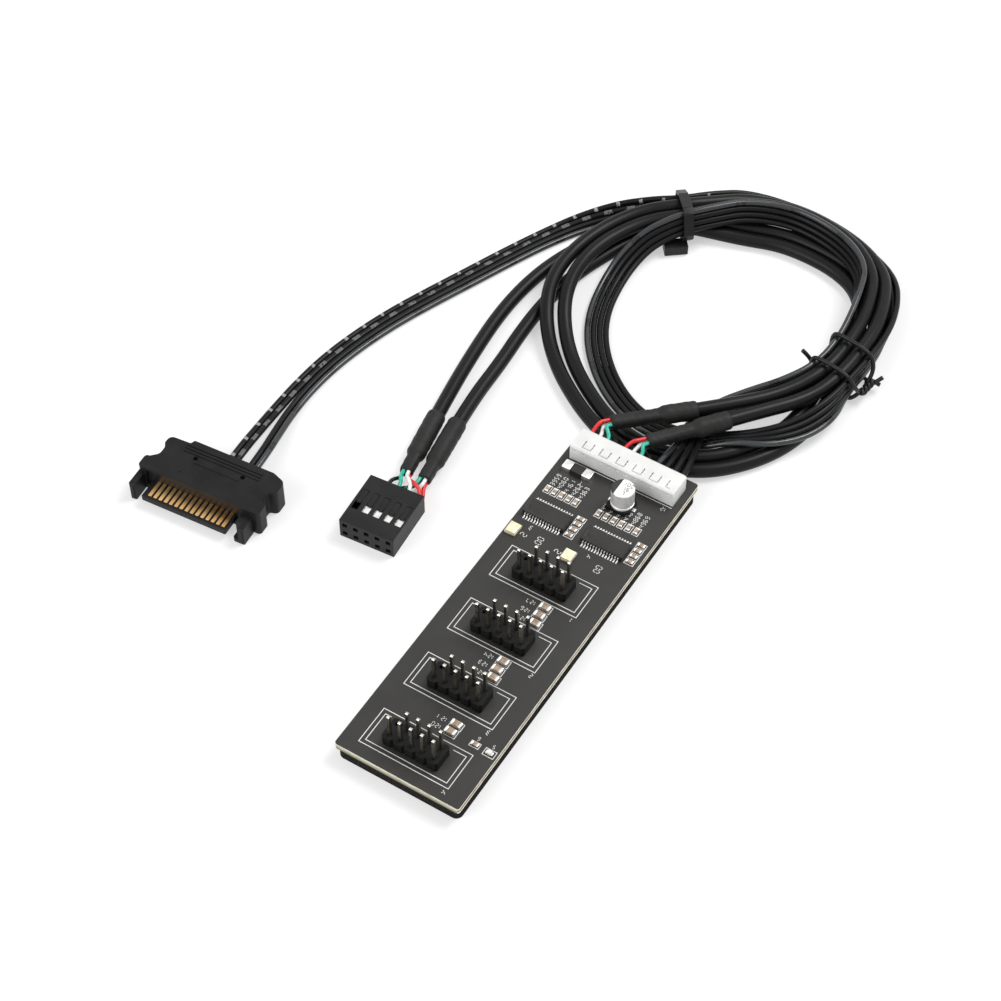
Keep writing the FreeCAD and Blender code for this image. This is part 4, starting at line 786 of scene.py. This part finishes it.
def print_headers():
    """Two boxes round each header, the inner one open behind it, and the header's number."""
    half_x, half_y = HEADER_BOX[0] / 2, HEADER_BOX[1] / 2
    in_x, in_y = half_x - HEADER_BOX_INSET, half_y - HEADER_BOX_INSET
    for number in HEADERS:
        low, high = box_mm("header_base_%d" % number)
        x, y = middle(low, high)
        outline_box(x, y, half_x, half_y)
        line(x - in_x, x + in_x, y - in_y, y - in_y)
        for side in (-1, 1):
            line(x + side * in_x, x + side * in_x, y - in_y + PRINT_LINE, y + in_y - PRINT_LINE)
        line(x - in_x, x - in_x + HEADER_BOX_STUB, y + in_y, y + in_y)
        line(x + HEADER_BOX_RESTART, x + in_x, y + in_y, y + in_y)
        right, down = HEADER_FIGURE_OFFSET
        numerals(str(number), x + half_x + right, y - half_y + down, HEADER_FIGURE, 2)


def print_parts():
    """Outline and number beside each capacitor, each small part and each crystal."""
    gap = PART_BOX_GAP
    for order, (low, high) in enumerate(solid_boxes("port_capacitor_bodies")):
        x, y = middle(low, high)
        half_x = (high.x - low.x) / 2 + CAPACITOR_END + gap
        outline_box(x, y, half_x, (high.y - low.y) / 2 + gap, NUMERAL_LINE)
        numerals(str(CAPACITOR_FIRST + order), x - half_x - CAPACITOR_FIGURE_GAP, y, CAPACITOR_FIGURE, 2)
    for order, (low, high) in enumerate(solid_boxes("small_chip_bodies")):
        x, y = middle(low, high)
        along_x = high.x - low.x > high.y - low.y
        half_x, half_y = SMALL_PART_HALF if along_x else SMALL_PART_HALF[::-1]
        outline_box(x, y, half_x + gap, half_y + gap, NUMERAL_LINE)
        rows = [] if along_x else SMALL_FIGURE_ROWS
        if SMALL_SINGLE_ROW[0] <= x <= SMALL_SINGLE_ROW[1]:
            rows = rows[:1]
        for first, behind in rows:
            numerals(str(first + order), x + SMALL_FIGURE_SHIFT, y + behind, SMALL_FIGURE, 1)
    for order, (low, high) in enumerate(solid_boxes("crystal_cases")):
        x = high.x + CRYSTAL_FIGURE_GAP if order else low.x - CRYSTAL_FIGURE_GAP
        numerals("2", x, (low.y + high.y) / 2, CRYSTAL_FIGURE, 1)


def print_marks():
    """Line along the wire connector, outline of the indicator light, and numbers beside the larger parts."""
    low, high = box_mm("wire_wafer")
    y = low.y - WAFER_LINE_GAP
    line(low.x + WAFER_LINE_INSET, high.x - WAFER_LINE_INSET, y, y)
    low, high = box_mm("indicator_base")
    half_x, half_y = (high.x - low.x) / 2 + INDICATOR_GAP[0], (high.y - low.y) / 2 + INDICATOR_GAP[1]
    outline_box(*middle(low, high), half_x, half_y, NUMERAL_LINE)
    for layer, figures in ((board_layer, BOARD_FIGURES), (can_layer, CAN_FIGURES)):
        for node, text, share, offset, height, turn in figures:
            low, high = box_mm(node)
            x = low.x + (high.x - low.x) * share[0] + offset[0]
            y = low.y + (high.y - low.y) * share[1] + offset[1]
            numerals(text, x, y, height, turn, layer)


print_headers()
print_parts()
print_marks()
board_print = new_piece("board_print", mesh_from(board_layer[0], "board_print"), smooth=False)
can_print = new_piece("can_print", mesh_from(can_layer[0], "can_print"), smooth=False)


socket_pieces = [nodes["socket_housing"], nodes["socket_terminals"], nodes["cable_tie"], twist_tie]
socket_pieces += loose_wires.values()
for lane in ("outer", "inner"):
    path = cable_paths[lane]


# Materials
class ShaderTree:
    """Short ways to add and link the nodes of a shader tree."""

    def __init__(self, tree):
        self.tree = tree

    def add(self, kind, values=None, **settings):
        """Node with settings as attributes and values on its input sockets."""
        node = self.tree.nodes.new("ShaderNode" + kind)
        for key, value in settings.items():
            setattr(node, key, value)
        for key, value in (values or {}).items():
            self.put(value, node.inputs[key])
        return node

    def put(self, value, socket):
        """Give an input socket a link from another socket, a colour or a number."""
        if isinstance(value, bpy.types.NodeSocket):
            self.tree.links.new(value, socket)
        elif socket.type == "RGBA":
            socket.default_value = (*value, 1)
        else:
            socket.default_value = value

    def parts(self, vector):
        """X, Y and Z outputs of a vector."""
        return self.add("SeparateXYZ", {"Vector": vector}).outputs

    def place(self, kind="Object"):
        """X, Y and Z outputs of the place on the piece."""
        return self.parts(self.add("TexCoord").outputs[kind])

    def facing(self):
        """X, Y and Z outputs of the surface normal."""
        return self.parts(self.add("NewGeometry").outputs["Normal"])

    def noise(self, size, detail=3.0, stretch=(1, 1, 1)):
        """Noise in object space whose features are about size millimetres across."""
        place = self.add("TexCoord").outputs["Object"]
        mapping = self.add("Mapping", {"Vector": place, "Scale": stretch})
        values = {"Vector": mapping.outputs["Vector"], "Scale": 1 / (size * MM), "Detail": detail}
        return self.add("TexNoise", values).outputs["Fac"]

    def ramp(self, factor, *stops):
        """Colour ramp over a factor; each stop is a position and a colour."""
        node = self.add("ValToRGB", {"Fac": factor})
        elements = node.color_ramp.elements
        while len(elements) < len(stops):
            elements.new(0.5)
        for element, (position, colour) in zip(elements, stops):
            element.position = position
            element.color = (*colour, 1)
        return node.outputs["Color"]

    def spread(self, factor, low, high, middle=(0.3, 0.7)):
        """Maps a factor's middle range to values from low to high."""
        values = {"Value": factor, "To Min": low, "To Max": high}
        values["From Min"], values["From Max"] = middle
        return self.add("MapRange", values).outputs["Result"]

    def maths(self, operation, first, second=0.0):
        """Result of a maths node; each operand is a socket or a number."""
        node = self.add("Math", operation=operation)
        self.put(first, node.inputs[0])
        self.put(second, node.inputs[1])
        return node.outputs["Value"]

    def times(self, first, *others):
        """Product of sockets and numbers."""
        for other in others:
            first = self.maths("MULTIPLY", first, other)
        return first

    def size_of(self, value):
        """A value without its sign."""
        return self.maths("ABSOLUTE", value)

    def mix(self, factor, first, second):
        """Mix of two colours; each is a socket or a colour."""
        node = self.add("Mix", {"Factor": factor}, data_type="RGBA")
        for key, colour in (("A", first), ("B", second)):
            sockets = [entry for entry in node.inputs if entry.name == key and entry.type == "RGBA"]
            self.put(colour, sockets[0])
        return [entry for entry in node.outputs if entry.type == "RGBA"][0]


class Surface(ShaderTree):
    """Material with a principled shader; values that are the same all over go on its own sockets."""

    def __init__(self, name, roughness, metallic=0.0, specular=0.5):
        self.material = bpy.data.materials.new(name)
        self.material.use_nodes = True
        super().__init__(self.material.node_tree)
        self.shader = self.tree.nodes["Principled BSDF"]
        self.feed("Roughness", roughness)
        self.feed("Metallic", metallic)
        self.feed("Specular IOR Level", specular)

    def feed(self, key, value):
        """Give one of the shader's inputs its value."""
        self.put(value, self.shader.inputs[key])

    def bump(self, height, depth, strength=0.5):
        """Bump of the given depth in millimetres."""
        node = self.add("Bump", {"Height": height, "Strength": strength, "Distance": depth * MM})
        self.feed("Normal", node.outputs["Normal"])


def moulded(name, dark, light, gloss, grain, depth, specular=0.5, patch=4.0):
    """Moulded or coated surface: soft patches of colour and gloss over a fine grain in millimetres."""
    look = Surface(name, gloss[0], specular=specular)
    fine = look.noise(grain, 4.0)
    look.feed("Base Color", look.ramp(look.noise(patch), (0.3, dark), (0.7, light)))
    look.feed("Roughness", look.spread(fine, *gloss))
    look.bump(fine, depth)
    return look.material


def metal(name, dark, light, gloss, grain):
    """Plated metal with slightly uneven colour and gloss."""
    look = Surface(name, gloss[0], 1.0)
    patches = look.noise(grain)
    look.feed("Base Color", look.ramp(patches, (0.3, dark), (0.7, light)))
    look.feed("Roughness", look.spread(patches, *gloss))
    look.bump(patches, 0.01, 0.3)
    return look.material


# Colours of the surfaces that have a recipe of their own; a ramp's stops are a position and a colour each
MASK = ((0.3, (0.0155, 0.015, 0.013)), (0.7, (0.022, 0.0212, 0.0188)))
LAMINATE = ((0.32, (0.46, 0.41, 0.30)), (0.5, (0.78, 0.74, 0.62)), (0.68, (0.88, 0.85, 0.76)))
SCORED = (0.10, 0.08, 0.05)
# Painted shade on the board's ends, strongest at their bottom
END_SHADE = (0.10, 0.105, 0.05)
# Painted light on the pins: a shaded colour for their sides and a lit colour for their tops and tips
PIN_SHADED_SIDES = ((0.3, (0.15, 0.14, 0.11)), (0.7, (0.24, 0.225, 0.18)))
PIN_LIT_TIPS = (0.58, 0.56, 0.50)
# Painted shade in the foam's cells: darkest where the bump's pits are deepest
FOAM_PIT_SHADE = ((0.0, (0.003, 0.003, 0.003)), (0.6, (0.020, 0.019, 0.018)))
CAN_SILVER = ((0.3, (0.78, 0.78, 0.77)), (0.7, (0.88, 0.88, 0.87)))
CAN_PRINT = (0.012, 0.012, 0.012)


def board_material(name):
    """Black mask on the faces; pale laminate on the cut edges, scored at the sides, with painted shade on
    the ends that grows towards the bottom.
    """
    look = Surface(name, 0.45, specular=0.4)
    low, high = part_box("circuit_board")
    normal = look.facing()
    height = look.place()["Z"]
    flat = look.maths("GREATER_THAN", look.size_of(normal["Z"]), 0.7)
    side = look.maths("GREATER_THAN", look.size_of(normal["X"]), 0.5)
    mask = look.ramp(look.noise(7.0), *MASK)
    fibres = look.noise(0.6, 4.0, (0.3, 0.3, 2.0))
    edge = look.ramp(fibres, *LAMINATE)
    from_middle = look.size_of(look.maths("SUBTRACT", height, (low.z + high.z) / 2))
    score = look.maths("LESS_THAN", from_middle, look.times(look.noise(1.6), 0.55 * MM))
    edge = look.mix(look.times(score, side, 0.85), edge, SCORED)
    # Painted shade: the end faces are mixed towards a dark olive colour more and more towards the bottom
    below_top = look.maths("DIVIDE", look.maths("SUBTRACT", high.z, height), high.z - low.z)
    end_shade = look.times(below_top, look.maths("SUBTRACT", 1.0, side))
    edge = look.mix(end_shade, edge, END_SHADE)
    look.feed("Base Color", look.mix(flat, edge, mask))
    fine = look.noise(0.25, 4.0)
    gloss = look.maths("SUBTRACT", 0.85, look.times(flat, 0.42))
    look.feed("Roughness", look.maths("ADD", gloss, look.times(fine, 0.1)))
    look.bump(fine, 0.02, 0.4)
    return look.material


def pin_material(name):
    """Plated pins with painted light: a lit colour on faces that look up, a shaded colour on their sides."""
    look = Surface(name, 0.3, 1.0)
    patches = look.noise(0.8)
    side = look.ramp(patches, *PIN_SHADED_SIDES)
    # Painted light: faces that look up get the lit colour, the rest get the shaded one
    lit_face = look.maths("GREATER_THAN", look.facing()["Z"], 0.4)
    look.feed("Base Color", look.mix(lit_face, side, PIN_LIT_TIPS))
    look.feed("Roughness", look.spread(patches, 0.26, 0.42))
    return look.material


def foam_material(name):
    """Dark open foam: cells in relief, with painted shade darkest at the bottom of each cell's pit."""
    look = Surface(name, 0.95, specular=0.08)
    place = look.add("TexCoord").outputs["Object"]
    cells = look.add("TexVoronoi", {"Vector": place, "Scale": 1 / (0.45 * MM)}).outputs["Distance"]
    # Painted shade: the colour follows the cell distance that also sets the bump, darker in the pits
    look.feed("Base Color", look.ramp(cells, *FOAM_PIT_SHADE))
    look.bump(cells, 0.12, 0.9)
    return look.material


def can_material(name):
    """Drawn metal can: fine lines round it, and a dark segment printed on one side of its top."""
    look = Surface(name, 0.4, 0.6)
    low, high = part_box("capacitor_can")
    place = look.place()
    lines = look.noise(0.25, 3.0, (0.05, 0.05, 1.0))
    silver = look.ramp(lines, *CAN_SILVER)
    on_top = look.maths("GREATER_THAN", place["Z"], high.z - 0.35 * MM)
    at_left = look.maths("LESS_THAN", place["X"], (low.x + high.x) / 2 - 1.0 * MM)
    printed = look.times(on_top, at_left)
    look.feed("Base Color", look.mix(printed, silver, CAN_PRINT))
    look.feed("Metallic", look.times(look.maths("SUBTRACT", 1.0, printed), 0.6))
    look.feed("Roughness", look.spread(lines, 0.36, 0.5))
    look.bump(lines, 0.01, 0.3)
    return look.material


# Share of a turn round a cord where its upper line runs
UPPER_LINE = 0.25


def jacket(name, dark, light, gloss, specular=0.5, marks=None):
    """Extruded cord jacket: streaks along its length over a fine matt grain.

    marks gives their colour, and in millimetres where they start, how far apart and how long they are,
    and the share of a turn that they reach to each side of the upper line.
    """
    look = Surface(name, gloss[0], specular=specular)
    place = look.place("UV")
    along, turn = place["X"], place["Y"]
    stretched = look.add("CombineXYZ", {"X": look.times(along, 0.05), "Y": look.times(turn, 6.0)})
    values = {"Vector": stretched.outputs["Vector"], "Scale": 2.0, "Detail": 3.0}
    streak = look.add("TexNoise", values).outputs["Fac"]
    both = look.maths("ADD", look.times(streak, 0.6), look.times(look.noise(0.3, 4.0), 0.4))
    colour = look.ramp(both, (0.35, dark), (0.65, light))
    if marks:
        mark, start, spacing, length, width = marks
        printed = look.maths("GREATER_THAN", along, start)
        in_mark = look.maths("LESS_THAN", look.maths("MODULO", along, spacing), length)
        off_top = look.size_of(look.maths("SUBTRACT", turn, UPPER_LINE))
        on_top = look.maths("LESS_THAN", off_top, width)
        worn = look.maths("GREATER_THAN", look.noise(0.5), 0.4)
        colour = look.mix(look.times(in_mark, on_top, worn, printed), colour, mark)
    look.feed("Base Color", colour)
    look.feed("Roughness", look.spread(both, *gloss))
    look.bump(both, 0.02, 0.4)
    return look.material


# Colours, gloss and marks of the finishes
BLACK = (0.004, 0.004, 0.004)
BLACK_LIGHT = (0.008, 0.008, 0.008)
BLACK_SHINE = (0.009, 0.009, 0.0085)
CORD_GLOSS = (0.3, 0.42)
CORD_SPECULAR = 0.16
WIRE_GLOSS = (0.28, 0.42)
# Distance along the ribbon from the board where it has turned its printed side up
TURNED_OVER = 325
MARK_SPACING = 5.3
# Each moulded finish: dark, light, gloss, size and depth of the grain, specular level, size of the patches
MOULDED = {
    "header_plastic": (BLACK, BLACK_SHINE, (0.35, 0.5), 0.15, 0.02, 0.15),
    "print_white": ((0.60, 0.60, 0.58), (0.76, 0.76, 0.74), (0.5, 0.65), 0.1, 0.003),
    "wafer_white": ((0.66, 0.66, 0.64), (0.76, 0.76, 0.745), (0.35, 0.5), 0.3, 0.015),
    "chip_black": ((0.015, 0.0135, 0.0115), (0.023, 0.0205, 0.0175), (0.45, 0.6), 0.12, 0.015, 0.35),
    "crystal_case": ((0.50, 0.44, 0.30), (0.62, 0.56, 0.42), (0.3, 0.45), 0.2, 0.01),
    "ceramic_tan": ((0.24, 0.17, 0.11), (0.46, 0.36, 0.27), (0.35, 0.55), 0.2, 0.01, 0.5, 0.8),
    "lens_clear": ((0.80, 0.80, 0.70), (0.90, 0.90, 0.82), (0.12, 0.2), 0.2, 0.004),
    "sleeve_black": (BLACK_SHINE, (0.015, 0.015, 0.0145), (0.5, 0.68), 0.35, 0.03, 0.25),
    "socket_black": (BLACK, (0.010, 0.010, 0.010), (0.36, 0.5), 0.2, 0.015, 0.25),
    "plug_black": (BLACK_LIGHT, (0.014, 0.014, 0.014), (0.36, 0.5), 0.14, 0.02, 0.15),
    "tie_black": (BLACK, (0.009, 0.009, 0.009), (0.3, 0.45), 0.25, 0.015, 0.25),
}
# Each metal: dark, light, gloss and size of the patches
METALS = {
    "tin": ((0.76, 0.76, 0.74), (0.90, 0.90, 0.88), (0.26, 0.38), 1.0),
    "crystal_lid": ((0.84, 0.74, 0.48), (0.92, 0.85, 0.64), (0.3, 0.45), 0.8),
    "contact_gold": ((0.66, 0.36, 0.13), (0.84, 0.54, 0.24), (0.32, 0.42), 6.0),
}
# Each jacket: dark, light, gloss, specular level and marks
JACKETS = {
    "cable_black": (BLACK, BLACK_LIGHT, CORD_GLOSS, CORD_SPECULAR),
    "conductor_grey": ((0.016, 0.018, 0.020), (0.032, 0.036, 0.040), (0.18, 0.3), 0.5,
                       (BLACK, 0, 13.0, 2.4, 0.6)),
    "conductor_plain": (BLACK, BLACK_LIGHT, CORD_GLOSS, CORD_SPECULAR),
    "conductor_dashed": (BLACK, BLACK_LIGHT, CORD_GLOSS, CORD_SPECULAR,
                         ((0.13, 0.13, 0.125), TURNED_OVER, MARK_SPACING, 2.0, 0.12)),
    "conductor_dotted": (BLACK, BLACK_LIGHT, CORD_GLOSS, CORD_SPECULAR,
                         ((0.30, 0.30, 0.29), TURNED_OVER, MARK_SPACING, 0.8, 0.13)),
    "wire_red": ((0.62, 0.010, 0.016), (0.78, 0.03, 0.03), WIRE_GLOSS),
    "wire_white": ((0.78, 0.78, 0.77), (0.88, 0.88, 0.87), WIRE_GLOSS),
    "wire_green": ((0.01, 0.36, 0.25), (0.03, 0.50, 0.36), WIRE_GLOSS),
    "wire_black": (BLACK, BLACK_LIGHT, WIRE_GLOSS, 0.2),
}
SPECIAL = {
    "board_mask": board_material, "foam": foam_material,
    "pin_metal": pin_material, "can_silver": can_material,
}
materials = {name: make(name) for name, make in SPECIAL.items()}
for make, finishes in ((moulded, MOULDED), (metal, METALS), (jacket, JACKETS)):
    for name, values in finishes.items():
        materials[name] = make(name, *values)


def paint(piece, material):
    """Give a piece its only material."""
    piece.data.materials.clear()
    piece.data.materials.append(materials[material])


for entry in frame["record"]["subparts"]:
    paint(nodes[entry["node"]], entry["material_slot"])
for lane in ("outer", "inner"):
    paint(cables[lane], "cable_black")
paint(conductors["grey"], "conductor_grey")
paint(conductors["black_1"], "conductor_plain")
paint(conductors["black_2"], "conductor_dashed")
paint(conductors["black_3"], "conductor_dotted")
for sleeve in sleeves.values():
    paint(sleeve, "sleeve_black")
for name, wires in loose_wires.items():
    slot = "wire_" + name.split("_")[-1]
    paint(wires, slot)
paint(twist_tie, "tie_black")
paint(foam, "foam")
paint(board_print, "print_white")
paint(can_print, "chip_black")


# Solids that show: their packed triangles are welded and their sharp edges rounded a little
WELD_DISTANCE = 0.001
BEVEL_SEGMENTS = 2
SHARP_ANGLE = 35
HEADER_EDGE = 0.08


def soften(node, width):
    """Round the sharp edges of a shown solid by a small width in millimetres."""
    piece = nodes[node]
    weld = piece.modifiers.new("weld", "WELD")
    weld.merge_threshold = WELD_DISTANCE * MM
    bevel = piece.modifiers.new("bevel", "BEVEL")
    bevel.width = width * MM
    bevel.segments = BEVEL_SEGMENTS
    bevel.limit_method = "ANGLE"
    bevel.angle_limit = math.radians(SHARP_ANGLE)
    normals = piece.modifiers.new("normals", "WEIGHTED_NORMAL")
    normals.keep_sharp = False


SOFT_EDGES = {
    "wire_wafer": 0.12, "wire_plug": 0.08, "socket_housing": 0.12,
    "power_plug_body": 0.15, "power_plug_cover": 0.15, "power_plug_contacts": 0.05,
    "hub_chip_1": 0.05, "hub_chip_2": 0.05, "capacitor_base": 0.08, "capacitor_can": 0.05,
    "crystal_cases": 0.08, "crystal_lids": 0.08, "cable_tie": 0.15,
    "input_component_body": 0.06, "input_component_ends": 0.12,
    "port_capacitor_bodies": 0.05, "port_capacitor_ends": 0.1,
    "small_chip_bodies": 0.04, "small_chip_ends": 0.06,
    "indicator_base": 0.04, "indicator_lens": 0.08, "indicator_ends": 0.04,
}
for number in HEADERS:
    SOFT_EDGES["header_base_%d" % number] = HEADER_EDGE
for node, width in SOFT_EDGES.items():
    soften(node, width)


# Floor, light and background, in metres
FLOOR_COLOUR = (0.93, 0.93, 0.93)
FLOOR_HALF = 4.0
FLOOR_DROP = 0.1 * MM
# Share of plain white in the floor near the part; it rises to 1 between the two distances of the fade
WHITE_SHARE = 0.5
FLOOR_FADE = (0.35, 0.9)
WHITE = (1, 1, 1)
WORLD_STRENGTH = 0.5
LIGHT_AIM = V(-0.02, 0.05, 0)
# Each soft box: its place, size and power
LIGHTS = {
    "key": (V(0.25, 0.45, 0.75), 0.4, 5.5),
    "fill": (V(-0.35, -0.6, 0.55), 0.6, 4.0),
}


def seen_directly(tree):
    """1 for rays from the camera, reflections and refractions, 0 for the rest."""
    path = tree.add("LightPath").outputs
    camera_or_glossy = tree.maths("MAXIMUM", path["Is Camera Ray"], path["Is Glossy Ray"])
    return tree.maths("MAXIMUM", camera_or_glossy, path["Is Transmission Ray"])


def mix_to_output(tree, share, first, second, kind):
    """Show the first shader, or the second one by its share."""
    mix = tree.add("MixShader")
    for value, socket in zip((share, first.outputs[0], second.outputs[0]), mix.inputs):
        tree.put(value, socket)
    tree.add(kind, {"Surface": mix.outputs["Shader"]})


def make_floor():
    """Wide pale floor that keeps a soft shadow and fades to white far away."""
    mesh = bpy.data.meshes.new("floor")
    corners = [(-1, -1), (1, -1), (1, 1), (-1, 1)]
    mesh.from_pydata([(x * FLOOR_HALF, y * FLOOR_HALF, 0) for x, y in corners], [], [(0, 1, 2, 3)])
    floor = bpy.data.objects.new("floor", mesh)
    floor.location.z = -FLOOR_DROP
    bpy.context.scene.collection.objects.link(floor)
    material = bpy.data.materials.new("floor")
    material.use_nodes = True
    material.node_tree.nodes.clear()
    tree = ShaderTree(material.node_tree)
    distance = tree.add("VectorMath", operation="LENGTH")
    tree.put(tree.add("TexCoord").outputs["Object"], distance.inputs[0])
    fade = tree.spread(distance.outputs["Value"], WHITE_SHARE, 1.0, FLOOR_FADE)
    share = tree.times(seen_directly(tree), fade)
    diffuse = tree.add("BsdfDiffuse", {"Color": FLOOR_COLOUR})
    white = tree.add("Emission", {"Color": WHITE, "Strength": 1.0})
    mix_to_output(tree, share, diffuse, white, "OutputMaterial")
    mesh.materials.append(material)


def make_world():
    """Soft even light from all round; the background itself shows white."""
    world = bpy.data.worlds.new("studio")
    world.use_nodes = True
    world.node_tree.nodes.clear()
    tree = ShaderTree(world.node_tree)
    light = tree.add("Background", {"Color": WHITE, "Strength": WORLD_STRENGTH})
    white = tree.add("Background", {"Color": WHITE, "Strength": 1.0})
    mix_to_output(tree, seen_directly(tree), light, white, "OutputWorld")
    bpy.context.scene.world = world


def make_lights():
    """Square soft boxes that look at the part."""
    for name, (place, size, power) in LIGHTS.items():
        lamp = bpy.data.lights.new(name, "AREA")
        lamp.size = size
        lamp.energy = power
        holder = bpy.data.objects.new(name, lamp)
        bpy.context.scene.collection.objects.link(holder)
        aim(holder, place, LIGHT_AIM)


make_floor()
make_world()
make_lights()
bpy.context.scene.view_settings.view_transform = "Standard"

bpy.context.view_layer.update()
